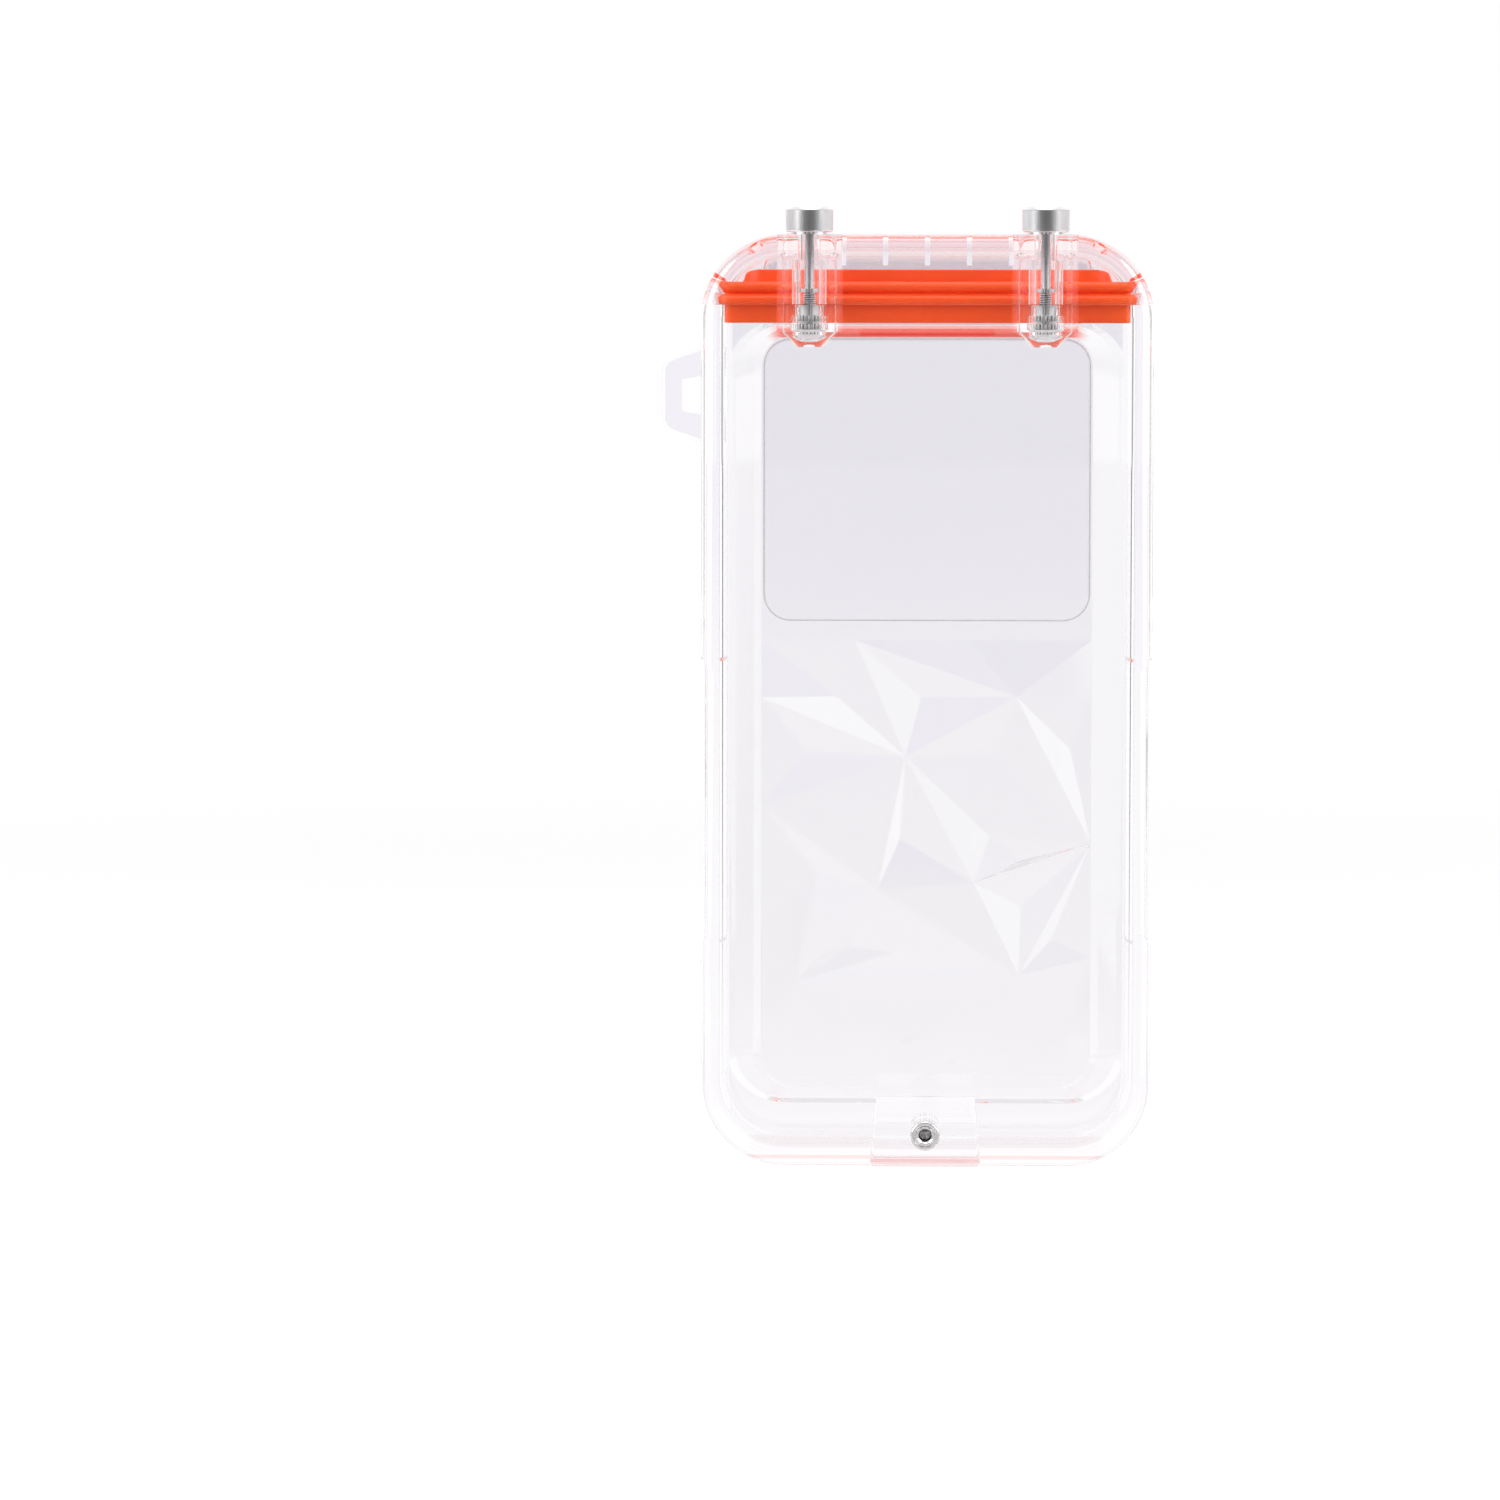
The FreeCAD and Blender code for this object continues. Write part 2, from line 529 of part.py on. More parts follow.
def relief_cutter():
    """Build the solid that is cut from the crest: flat outside, faceted where it meets the wall."""
    half, length, bottom = value("Sizes.panel_width / 2"), value(PANEL_LENGTH), value("Sizes.panel_bottom")
    crest, depth = value(CREST), value("Sizes.relief_depth")
    outside = crest + depth
    inner = {name: Vector(u * half, crest - deep * depth, bottom + v * length)
             for name, (u, v, deep) in FACET_POINTS.items()}
    outer = {name: Vector(point.x, outside, point.z) for name, point in inner.items()}
    facets = facet_network(FACET_POINTS, CREASES)
    faces = []
    uses = {}
    for trio in facets:
        for layer in (inner, outer):
            faces.append(Part.Face(Part.makePolygon([layer[name] for name in (*trio, trio[0])])))
        for pair in itertools.combinations(trio, 2):
            uses[pair] = uses.get(pair, 0) + 1
    for (first, second), count in uses.items():
        if count == 1:
            ring = [inner[first], inner[second], outer[second], outer[first], inner[first]]
            faces.append(Part.Face(Part.makePolygon(ring)))
    skin = Part.Shell(faces)
    skin.sewShape()
    solid = Part.Solid(skin)
    if solid.Volume < 0:
        solid.reverse()
    feature = doc.addObject("Part::Feature", "relief_cutter")
    feature.Shape = solid.removeSplitter()
    return feature


# Side grip recesses
def recess_cutters(side):
    """Build the two cutters of one side recess: the thin one in the side and the step in the front corner."""
    cutters = []
    name = SIDES[side]
    for part, depth, reach, rear in (("skin", "Sizes.recess_skin", DEEP, DEEP + " / 2"),
                                     ("step", "Sizes.recess_step", "Sizes.recess_step_depth + Sizes.overlap",
                                      FRONT + " + Sizes.recess_step_depth")):
        body = add_body("%s_recess_%s" % (name, part))
        face = "%d * Sizes.body_width / 2" % side
        inner = "%s - %d * %s" % (face, side, depth)
        outer = "%s + %d * Sizes.overlap" % (face, side)
        low, high = "Sizes.recess_bottom", "Sizes.recess_bottom + Sizes.recess_length"
        corners = ((outer, low + " - Sizes.overlap"), (outer, high + " + Sizes.overlap"),
                   (inner, "%s - %s" % (high, depth)), (inner, "%s + %s" % (low, depth)))
        sketch = corner_frame(body, body.Name + "_outline", "XZ_Plane", corners, lift="-(%s)" % rear)
        pad(body, body.Name + "_pad", sketch, reach)
        cutters.append(body)
    return cutters


# Dock block
def dock_block():
    """Build the tapered block at the foot of the front, with its sloping top."""
    body = add_body("dock_block")
    half_low, half_high = "Sizes.dock_bottom_width / 2", "Sizes.dock_top_width / 2"
    corners = (("-" + half_low, "0"), (half_low, "0"), (half_high, "Sizes.dock_height"),
               ("-" + half_high, "Sizes.dock_height"))
    sketch = corner_frame(body, "dock_outline", "XZ_Plane", corners,
                          lift="-(%s + Sizes.face_wall)" % FRONT)
    block = pad(body, "dock_pad", sketch, "Sizes.dock_reach + Sizes.face_wall")
    front = value(FRONT + " - Sizes.dock_reach")
    slope = body.newObject("PartDesign::Chamfer", "dock_slope")
    edges = [number for number, edge in enumerate(block.Shape.Edges, start=1)
             if level(edge.BoundBox.YMin, edge.BoundBox.YMax, front)
             and level(edge.BoundBox.ZMin, edge.BoundBox.ZMax, value("Sizes.dock_height"))]
    slope.Base = (block, ["Edge%d" % number for number in edges])
    slope.ChamferType = "Two distances"
    bind(slope, Size="Sizes.dock_slope_height", Size2="Sizes.dock_slope_reach")
    doc.recompute()
    if abs(slope.Shape.BoundBox.YMin - front) < 0.01:
        faces = [face for face in slope.Shape.Faces if level(face.BoundBox.YMin, face.BoundBox.YMax, front)]
        tall = max(face.BoundBox.ZMax for face in faces)
        if abs(tall - value("Sizes.dock_height - Sizes.dock_slope_height")) > 0.01:
            slope.FlipDirection = True
            doc.recompute()
    soften(body, "dock_edges", slope, "Sizes.dock_edge",
           lambda b: b.YMin < front + 0.01 and b.YMax < value(FRONT) - 0.01 and b.ZMax > 0.01)
    return body


# Lanyard loop
def lanyard_loop():
    """Build the loop on the left side: a plate with sloping ends and one hole beside the shell."""
    body = add_body("lanyard_loop")
    side, sunk = "-Sizes.body_width / 2", "-Sizes.body_width / 2 + Sizes.side_wall / 2"
    far = "%s - Sizes.loop_reach" % side
    half_root, half_outer = "Sizes.loop_root / 2", "Sizes.loop_outer / 2"
    corners = ((sunk, LOOP_MIDDLE + " - " + half_root), (sunk, LOOP_MIDDLE + " + " + half_root),
               (side, LOOP_MIDDLE + " + " + half_root), (far, LOOP_MIDDLE + " + " + half_outer),
               (far, LOOP_MIDDLE + " - " + half_outer), (side, LOOP_MIDDLE + " - " + half_root))
    sketch = corner_frame(body, "loop_outline", "XZ_Plane", corners)
    plate = pad(body, "loop_pad", sketch, "Sizes.loop_thickness", middle=True)
    far_x, sunk_x, half = value(far), value(sunk), value("Sizes.loop_thickness / 2")
    cornered = soften(body, "loop_corners", plate, "Sizes.loop_round",
                      lambda b: level(b.XMin, b.XMax, far_x) and not level(b.YMin, b.YMax, b.YMin))
    soften(body, "loop_edges", cornered, "Sizes.loop_edge",
           lambda b: level(abs(b.YMin), abs(b.YMax), half) and not level(b.XMin, b.XMax, sunk_x))
    half_hole = "Sizes.loop_hole_length / 2"
    reach = "%s - Sizes.loop_hole_reach" % side
    hole = corner_frame(body, "loop_hole", "XZ_Plane",
                        ((side, "%s - %s" % (LOOP_MIDDLE, half_hole)), (side, "%s + %s" % (LOOP_MIDDLE, half_hole)),
                         (reach, "%s + %s - Sizes.loop_hole_taper" % (LOOP_MIDDLE, half_hole)),
                         (reach, "%s - %s + Sizes.loop_hole_taper" % (LOOP_MIDDLE, half_hole))))
    pocket = pad(body, "loop_hole_pocket", hole, "2 * Sizes.loop_thickness", middle=True, pocket=True)
    reach_x = value(reach)
    soften(body, "loop_hole_corners", pocket, "Sizes.loop_hole_round",
           lambda b: level(b.XMin, b.XMax, reach_x) and not level(b.YMin, b.YMax, b.YMin))
    return body


def insert_profile():
    """Give the outer half profile of a threaded insert, from its rounded end up, as (radius, height)."""
    low = "-Sizes.insert_length"
    shoulder = "%s + Sizes.insert_dome + Sizes.insert_barrel_length" % low
    return (("0", low), ("Sizes.insert_barrel_diameter / 4", low),
            ("Sizes.insert_barrel_diameter / 2", low + " + Sizes.insert_dome"),
            ("Sizes.insert_barrel_diameter / 2", shoulder), ("Sizes.insert_neck_diameter / 2", shoulder),
            ("Sizes.insert_neck_diameter / 2", "0"))


def insert_cutter(side):
    """Build the solid that leaves the insert's place in the shell."""
    return turned(SIDES[side] + "_insert_place", (*insert_profile(), ("0", "0")), screw_x(side), SCREW_Y, RIM)


def dock_profile(hollow):
    """Give the half profile of the dock insert, from its buried end to its face, as (radius, height)."""
    radius, hole = "Sizes.dock_insert_diameter / 2", "Sizes.dock_hole_diameter / 2"
    long, deep = "Sizes.dock_insert_length", "Sizes.dock_insert_length - Sizes.dock_hole_depth"
    if not hollow:
        return (("0", "0"), (radius, "0"), (radius, long), ("0", long))
    chamfer, groove = " - Sizes.dock_insert_chamfer", long + " - Sizes.dock_groove_depth"
    rim, land = radius + " - Sizes.dock_rim_width", hole + " + Sizes.dock_land_width"
    return (("0", "0"), (radius, "0"), (radius, long + chamfer), (radius + chamfer, long), (rim, long),
            (rim, groove), (land, groove), (land, long), (hole + " + Sizes.dock_insert_chamfer", long),
            (hole, long + chamfer), (hole, deep), ("0", deep))


DOCK_BACK = "%s - Sizes.dock_reach + Sizes.dock_insert_length" % FRONT

# Case shell
shell_solid = fuse("shell_solid", [
    outline_block("shell_block"), outer_plateau, dock_block(), lanyard_loop(),
    *(screw_boss(SIDES[side] + "_lower_boss", side, "%s - Sizes.boss_length" % RIM, "Sizes.boss_length", True)
      for side in SIDES),
])
above_rim = box("above_rim", WIDE, DEEP, "Sizes.body_height", "0", "-%s / 2" % DEEP, RIM)
shell_hollow = fuse("shell_hollow", [cavity_block(), inner_plateau])
shell_tools = [
    shell_hollow, above_rim,
    window_prism("window_rebate", "0", "(%s + Sizes.overlap)" % CREST, "Sizes.window_thickness + Sizes.overlap"),
    window_prism("window_opening", "Sizes.window_ledge", CREST, "Sizes.face_wall + Sizes.plateau_raise"),
    relief_cutter(),
    *itertools.chain.from_iterable(recess_cutters(side) for side in SIDES),
    *(insert_cutter(side) for side in SIDES),
    turned("dock_insert_place", dock_profile(False), "0", DOCK_BACK, "Sizes.dock_insert_height", axis="Y"),
]
rest = shell_solid
for number, tool in enumerate(shell_tools, start=1):
    last = number == len(shell_tools)
    rest = cut("case_shell" if last else "shell_cut_%d" % number, rest, tool)
case_shell = rest

camera_window = window_prism("camera_window", "Sizes.bond_gap", CREST, "Sizes.window_thickness")


# Lid
def ring_prism(body, name, width, depth, corner, bottom, height, pocket=False):
    """Pad or pocket a rounded rectangle of the plan upwards from a height."""
    frame = rounded_frame(body, name + "_plan", "XY_Plane", width, depth, corner, up="-(%s) / 2" % depth,
                          lift=bottom)
    return pad(body, name, frame, height, pocket=pocket)


def lid_pocket():
    """Build the hollow of the lid above the seal, parallel to the lid's own outline."""
    body = add_body("lid_pocket")
    frame = rounded_frame(body, "lid_pocket_outline", "XZ_Plane", "Sizes.body_width - 2 * Sizes.lid_wall",
                          "Sizes.body_height / 2", "Sizes.outline_corner - Sizes.lid_wall",
                          up=LID_CEILING + " - Sizes.body_height / 2")
    block = pad(body, "lid_pocket_pad", frame, "Sizes.body_depth - 2 * Sizes.lid_wall", middle=True)
    half = value("Sizes.body_depth / 2 - Sizes.lid_wall")
    soften(body, "lid_pocket_edges", block, "Sizes.cavity_round",
           lambda b: level(b.YMin, b.YMax, -half) or level(b.YMin, b.YMax, half))
    return body


def lip_size(base, overhang, gap):
    """Give the full size of a lip, or with a gap of the lid's pocket round it."""
    return "(%s + 2 * %s + 2 * %s)" % (base, overhang, gap)


def lip_pocket(name, overhang, bottom, height):
    """Build the pocket of the lid round one lip."""
    body = add_body(name)
    ring_prism(body, name + "_pad", lip_size(CAVITY_WIDTH, overhang, "Sizes.seal_gap"),
               lip_size(CAVITY_DEPTH, overhang, "Sizes.seal_gap"), "Sizes.cavity_round + %s" % overhang,
               bottom, height)
    return body


def lid_plug():
    """Build the hollow plug that the seal is stretched over."""
    body = add_body("lid_plug")
    bottom = "%s - Sizes.plug_reach" % RIM
    height = "%s + Sizes.overlap - (%s)" % (LID_CEILING, bottom)
    ring_prism(body, "plug_wall_pad", "Sizes.plug_width", "Sizes.plug_depth", "Sizes.plug_corner", bottom, height)
    ring_prism(body, "plug_hollow", "Sizes.plug_width - 2 * Sizes.plug_wall",
               "Sizes.plug_depth - 2 * Sizes.plug_wall", "Sizes.plug_corner / 3", bottom, height, pocket=True)
    return body


def lid_rib(number):
    """Build one short rib across the lid's ceiling."""
    depth = "(Sizes.body_depth - Sizes.lid_wall)"
    return box("lid_rib_%d" % number, "Sizes.rib_thickness", depth, "Sizes.rib_height + Sizes.overlap",
               "%d * Sizes.rib_spacing" % (number - 3), "-%s / 2" % depth, LID_CEILING + " - Sizes.rib_height")


below_rim = box("below_rim", WIDE, DEEP, "Sizes.body_height", "0", "-%s / 2" % DEEP,
                LID_BOTTOM + " - Sizes.body_height")
lid_solid = fuse("lid_solid", [
    cut("lid_block", outline_block("lid_outline_block"), below_rim),
    *(screw_boss(SIDES[side] + "_upper_boss", side, LID_BOTTOM, "Sizes.body_height - %s" % LID_BOTTOM, False)
      for side in SIDES),
])
lid_hollow = fuse("lid_hollow", [
    lid_pocket(),
    lip_pocket("lower_lip_pocket", "Sizes.lower_lip_overhang", RIM, "Sizes.lip_height + Sizes.lip_groove / 2"),
    lip_pocket("upper_lip_pocket", "Sizes.upper_lip_overhang", RIM, "%s - %s" % (LIP_TOP, RIM)),
])
lid_ribbed = fuse("lid_ribbed", [cut("lid_skirt", lid_solid, lid_hollow), lid_plug(),
                                 *(lid_rib(number) for number in range(1, 6))])
lid_bores = fuse("lid_bores", [
    piece for side in SIDES for piece in (
        rod(SIDES[side] + "_bore", "Sizes.bore_diameter / 2", "Sizes.body_height", screw_x(side), SCREW_Y, RIM),
        rod(SIDES[side] + "_counterbore", "Sizes.counterbore_diameter / 2", "Sizes.counterbore_depth",
            screw_x(side), SCREW_Y, RIM))
])
lid = cut("lid", lid_ribbed, lid_bores)


# Seal
def lid_seal():
    """Build the silicone ring: a sleeve in the shell's mouth, two lips and a sleeve round the plug."""
    body = add_body("lid_seal")
    mouth = (CAVITY_WIDTH, CAVITY_DEPTH)
    sleeve = ["(%s - 2 * Sizes.sleeve_gap)" % size for size in mouth]
    bottom = "%s - Sizes.sleeve_reach" % RIM
    ring_prism(body, "lower_sleeve", *sleeve, "Sizes.cavity_round - Sizes.sleeve_gap", bottom, "Sizes.sleeve_reach")
    lower = [lip_size(size, "Sizes.lower_lip_overhang", "0") for size in mouth]
    lip = ring_prism(body, "lower_lip", *lower, "Sizes.cavity_round + Sizes.lower_lip_overhang", RIM,
                     "Sizes.lip_height")
    lip_low = "(%s + Sizes.lip_height)" % RIM
    top = value(lip_low)
    soften(body, "lower_lip_edge", lip, "Sizes.lip_round", lambda b: level(b.ZMin, b.ZMax, top))
    ring_prism(body, "groove_wall", *sleeve, "Sizes.cavity_round - Sizes.sleeve_gap", lip_low, "Sizes.lip_groove")
    upper = [lip_size(size, "Sizes.upper_lip_overhang", "0") for size in mouth]
    low = "(%s + Sizes.lip_groove)" % lip_low
    lip = ring_prism(body, "upper_lip", *upper, "Sizes.cavity_round + Sizes.upper_lip_overhang", low,
                     "Sizes.lip_height")
    under = value(low)
    beside_x, beside_y = (value("(%s + Sizes.upper_lip_overhang) / 2" % size) for size in sleeve)
    soften(body, "upper_lip_edge", lip, "Sizes.lip_round",
           lambda b: level(b.ZMin, b.ZMax, under) and (b.XMax > beside_x or b.XMin < -beside_x
                                                       or b.YMax > beside_y or b.YMin < -beside_y))
    hole = ["Sizes.plug_width + 2 * Sizes.seal_gap", "Sizes.plug_depth + 2 * Sizes.seal_gap"]
    outer = ["(%s + 2 * Sizes.upper_sleeve_wall)" % size for size in hole]
    ring_prism(body, "upper_sleeve", *outer, "Sizes.plug_corner + Sizes.upper_sleeve_wall", LIP_TOP,
               "Sizes.upper_sleeve_height")
    ring_prism(body, "plug_hole", *hole, "Sizes.plug_corner", bottom, "Sizes.body_height", pocket=True)
    inner = ["(%s - 2 * Sizes.sleeve_wall)" % size for size in sleeve]
    ring_prism(body, "sleeve_hollow", *inner, "Sizes.cavity_round / 2", bottom,
               "Sizes.sleeve_reach - Sizes.sleeve_roof", pocket=True)
    return body


seal = lid_seal()


# Screws, rings, washers and inserts
def thumb_screw(side):
    """Turn one thumb screw: a chamfered head, a waist that keeps it in the lid and a threaded end."""
    head, waist, thread = ("Sizes.%s_diameter / 2" % name for name in ("head", "waist", "thread"))
    seat, top = "0", "Sizes.head_height"
    thread_top = "%s - %s" % (THREAD_TOP, HEAD_SEAT)
    tip = thread_top + " - Sizes.thread_length"
    profile = (("0", tip), (thread + " - Sizes.thread_chamfer", tip), (thread, tip + " + Sizes.thread_chamfer"),
               (thread, thread_top), (waist, thread_top), (waist, seat), (head + " - Sizes.head_chamfer / 2", seat),
               (head, "Sizes.head_chamfer / 2"), (head, top + " - Sizes.head_chamfer"),
               (head + " - Sizes.head_chamfer", top), ("0", top))
    return turned(SIDES[side] + "_thumb_screw", profile, screw_x(side), SCREW_Y, HEAD_SEAT)


def flat_ring(name, side, outer, thickness, bottom):
    """Turn a flat ring that runs on the screw's waist."""
    hole = "Sizes.waist_diameter / 2 + Sizes.ring_gap"
    profile = ((hole, "0"), (outer, "0"), (outer, thickness), (hole, thickness))
    return turned("%s_%s" % (SIDES[side], name), profile, screw_x(side), SCREW_Y, bottom)


def threaded_insert(side):
    """Turn one moulded-in insert with its blind threaded hole."""
    hole = "Sizes.thread_diameter / 2 + Sizes.thread_clearance"
    profile = (*insert_profile(), (hole, "0"), (hole, "-Sizes.insert_hole_depth"), ("0", "-Sizes.insert_hole_depth"))
    return turned(SIDES[side] + "_threaded_insert", profile, screw_x(side), SCREW_Y, RIM)


nodes = [case_shell, camera_window, lid, seal]
for side in SIDES:
    nodes.append(thumb_screw(side))
    nodes.append(flat_ring("washer", side, "Sizes.washer_diameter / 2", "Sizes.washer_thickness", "Sizes.body_height"))
    nodes.append(flat_ring("retaining_ring", side, "Sizes.ring_diameter / 2", "Sizes.ring_thickness",
                           THREAD_TOP + " + Sizes.ring_gap"))
    nodes.append(threaded_insert(side))
nodes.append(turned("dock_insert", dock_profile(True), "0", DOCK_BACK, "Sizes.dock_insert_height", axis="Y"))

# Checks and output
doc.recompute()
failed = [item for item in doc.Objects if "Invalid" in item.State or "Error" in item.State]
if failed:
    raise RuntimeError("\n".join("%s: %s" % (item.Name, item.getStatusString()) for item in failed))
os.makedirs("parts", exist_ok=True)
for node in nodes:
    if node.Shape.isNull() or not node.Shape.isValid() or not node.Shape.Solids:
        raise RuntimeError("%s has no valid solid" % node.Label)
for node in nodes:
    node.Shape.exportStep("parts/%s.step" % node.Label)
    print("%-24s %2d solid  %10.1f mm3  %s" % (node.Label, len(node.Shape.Solids), node.Shape.Volume,
                                              node.Shape.BoundBox))
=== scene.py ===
"""Looks of a waterproof phone case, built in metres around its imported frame.

X runs across the case, Y from the front to the rear and Z up. The origin is the middle of the flat base.
"""

import json
import logging
import math
from dataclasses import dataclass
from enum import Enum

import bpy
import numpy as np
from mathutils import Matrix, Vector

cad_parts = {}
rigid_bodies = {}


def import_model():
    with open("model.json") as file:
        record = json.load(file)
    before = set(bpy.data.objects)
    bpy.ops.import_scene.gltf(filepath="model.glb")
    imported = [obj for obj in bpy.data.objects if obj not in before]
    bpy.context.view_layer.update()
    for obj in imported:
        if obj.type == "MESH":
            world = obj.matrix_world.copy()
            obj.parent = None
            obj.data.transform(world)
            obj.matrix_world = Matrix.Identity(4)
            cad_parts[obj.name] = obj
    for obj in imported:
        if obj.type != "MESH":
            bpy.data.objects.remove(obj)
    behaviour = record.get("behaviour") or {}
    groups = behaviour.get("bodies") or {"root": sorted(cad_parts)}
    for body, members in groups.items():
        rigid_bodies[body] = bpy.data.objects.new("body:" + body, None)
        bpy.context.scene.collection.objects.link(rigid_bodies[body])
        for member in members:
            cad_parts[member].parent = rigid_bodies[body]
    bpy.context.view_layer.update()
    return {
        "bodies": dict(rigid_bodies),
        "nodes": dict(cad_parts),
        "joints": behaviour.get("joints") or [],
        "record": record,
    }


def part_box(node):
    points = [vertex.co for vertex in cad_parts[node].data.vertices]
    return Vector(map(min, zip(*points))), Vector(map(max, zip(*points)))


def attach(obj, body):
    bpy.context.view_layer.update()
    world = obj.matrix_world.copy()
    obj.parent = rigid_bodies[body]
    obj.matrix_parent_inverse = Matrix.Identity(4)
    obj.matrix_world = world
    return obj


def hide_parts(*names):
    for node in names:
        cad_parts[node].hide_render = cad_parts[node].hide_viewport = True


LOG = logging.getLogger("phone_case")
MM = 0.001
# Angle in degrees above which the edges of turned pieces are sharp
TURNED_SHARP = 32.0
# Slack in comparing a profile's rows with a radius or a height
SLACK = 1e-9
# What can feed a shader socket; a node stands for its first output
Fed = bpy.types.Node | bpy.types.NodeSocket | float | tuple[float, ...] | list[float]


class Side(Enum):
    """The two sides of the case, with the direction of each along X."""

    LEFT = -1
    RIGHT = 1

    @property
    def label(self) -> str:
        """Word that starts the names of this side's pieces."""
        return self.name.lower()


class Slot(Enum):
    """The record's finish slots."""

    CLEAR = "clear_plastic"
    WINDOW = "window_plastic"
    SILICONE = "orange_silicone"
    STEEL = "steel"
    INSERT = "insert_metal"


# Surfaces from grids of points
def triangle_wave(phase: np.ndarray) -> np.ndarray:
    """Rise from 0 to 1 over the first half of each turn of the phase, and fall back over the second.

    Args:
        phase: Phases, in turns.

    Returns:
        The wave's height at each phase.
    """
    return 1.0 - np.abs(2.0 * (phase - np.floor(phase)) - 1.0)


def smooth_step(value: np.ndarray, low: float, high: float) -> np.ndarray:
    """Ease from 0 at the low value to 1 at the high one, as 3 t squared less 2 t cubed.

    Args:
        value: Values to ease.
        low: Value where the result starts to rise.
        high: Value where it reaches 1.

    Returns:
        The eased values.
    """
    share = np.clip((value - low) / (high - low), 0.0, 1.0)
    return share * share * (3.0 - 2.0 * share)


def plan_rings(rows: np.ndarray, corner_steps: int, run_steps: int) -> np.ndarray:
    """Work out rounded rectangles of the plan, one for each row, as a grid of points.

    Each quarter is an arc about its corner's centre: x = centre x + radius cos(angle), y alike with sin.
    The straight runs between the arcs are divided evenly, from the last point of one arc to the first of
    the next.

    Args:
        rows: One row of (half width, half depth, corner radius, height) for each ring.
        corner_steps: Steps in each corner's arc.
        run_steps: Steps in each straight run.

    Returns:
        Points with the shape (rings, points round each ring, 3).
    """
    half_x, half_y, radius, height = (rows[:, column, None] for column in range(4))
    turns = np.linspace(0.0, math.pi / 2, corner_steps + 1)
    parts = []
    for quarter, (sign_x, sign_y) in enumerate(((1, 1), (-1, 1), (-1, -1), (1, -1))):
        angle = (turns + quarter * math.pi / 2)[None, :]
        x = sign_x * (half_x - radius) + radius * np.cos(angle)
        y = sign_y * (half_y - radius) + radius * np.sin(angle)
        parts.append(np.stack((x, y), axis=-1))
    rings = []
    for quarter, part in enumerate(parts):
        start, end = part[:, -1:, :], parts[(quarter + 1) % 4][:, :1, :]
        share = (np.arange(1, run_steps) / run_steps)[None, :, None]
        rings.extend((part, start + (end - start) * share))
    flat = np.concatenate(rings, axis=1)
    level = np.broadcast_to(height[..., None], (*flat.shape[:2], 1))
    return np.concatenate((flat, level), axis=2)


def corner_curve(start: np.ndarray, corner: np.ndarray, end: np.ndarray, steps: int) -> np.ndarray:
    """Round a corner by the curve (1 - t) squared start + 2 t (1 - t) corner + t squared end.

    Args:
        start: Where the curve leaves the side before the corner.
        corner: The corner.
        end: Where it joins the side after it.
        steps: Steps in the curve.

    Returns:
        Points of the curve, one to a row.
    """
    share = np.linspace(0.0, 1.0, steps + 1)[:, None]
    return (1 - share) ** 2 * start + 2 * share * (1 - share) * corner + share ** 2 * end


def rounded_profile(corners: list[tuple[float, float, float]], steps: int) -> np.ndarray:
    """Round the corners of an open profile in the plane, each by its own rounding distance.

    Args:
        corners: Corners as (across, up, rounding distance); a rounding of 0 keeps the corner sharp.
        steps: Steps in each rounded corner.

    Returns:
        Points of the profile, with the shape (points, 2).
    """
    points = []
    for number, (across, up, rounding) in enumerate(corners):
        corner = np.array((across, up))
        if rounding <= 0 or number in (0, len(corners) - 1):
            points.append(corner[None, :])
            continue
        before = np.array(corners[number - 1][:2]) - corner
        after = np.array(corners[number + 1][:2]) - corner
        start = corner + before / np.linalg.norm(before) * rounding
        end = corner + after / np.linalg.norm(after) * rounding
        points.append(corner_curve(start, corner, end, steps))
    return np.concatenate(points)


def straight_run(radius: float, heights: np.ndarray) -> np.ndarray:
    """Give the profile rows of a straight run.

    Args:
        radius: Radius of the run.
        heights: Height of each row.

    Returns:
        Rows of (radius, height).
    """
    return np.stack((np.full_like(heights, radius), heights), axis=1)


@dataclass
class Lathe:
    """A turned form: a profile carried round an axis, with a ripple of its radius.

    The point at angle a and row i is origin + (r cos a, r sin a, height), where r is the profile's radius
    less the ripple at that angle and row. A forward lathe is the same form tipped so that its height runs
    towards the front.
    """

    origin: Vector
    columns: int
    forward: bool = False

    @property
    def turns(self) -> np.ndarray:
        """Angle of each column, in full turns."""
        return np.arange(self.columns) / self.columns

    def grid(self, profile: np.ndarray, cut: np.ndarray) -> np.ndarray:
        """Work out the grid of a profile of (radius, height) rows.

        Args:
            profile: Rows of (radius, height).
            cut: Depth taken off the radius, with the shape (rows, columns).

        Returns:
            Points with the shape (rows, columns, 3).
        """
        angle = 2 * math.pi * np.arange(self.columns) / self.columns
        radius = profile[:, :1] - cut
        height = np.broadcast_to(profile[:, 1:2], radius.shape)
        x, y = radius * np.cos(angle), radius * np.sin(angle)
        if self.forward:
            y, height = -height, y
        return np.stack((x, y, height), axis=-1) + np.array(self.origin)

    def turn(self, name: str, profile: np.ndarray, cut: np.ndarray, hollow: np.ndarray) -> bpy.types.Object:
        """Turn a profile into a closed object.

        Args:
            name: Name of the object.
            profile: Rows of (radius, height).
            cut: Depth taken off the radius, with the shape (rows, columns).
            hollow: How deep each point lies in a groove, from 0 to 1.

        Returns:
            The object.
        """
        maker = MeshMaker()
        maker.add_turned(self.grid(profile, cut), hollow)
        return maker.finish(name, TURNED_SHARP)


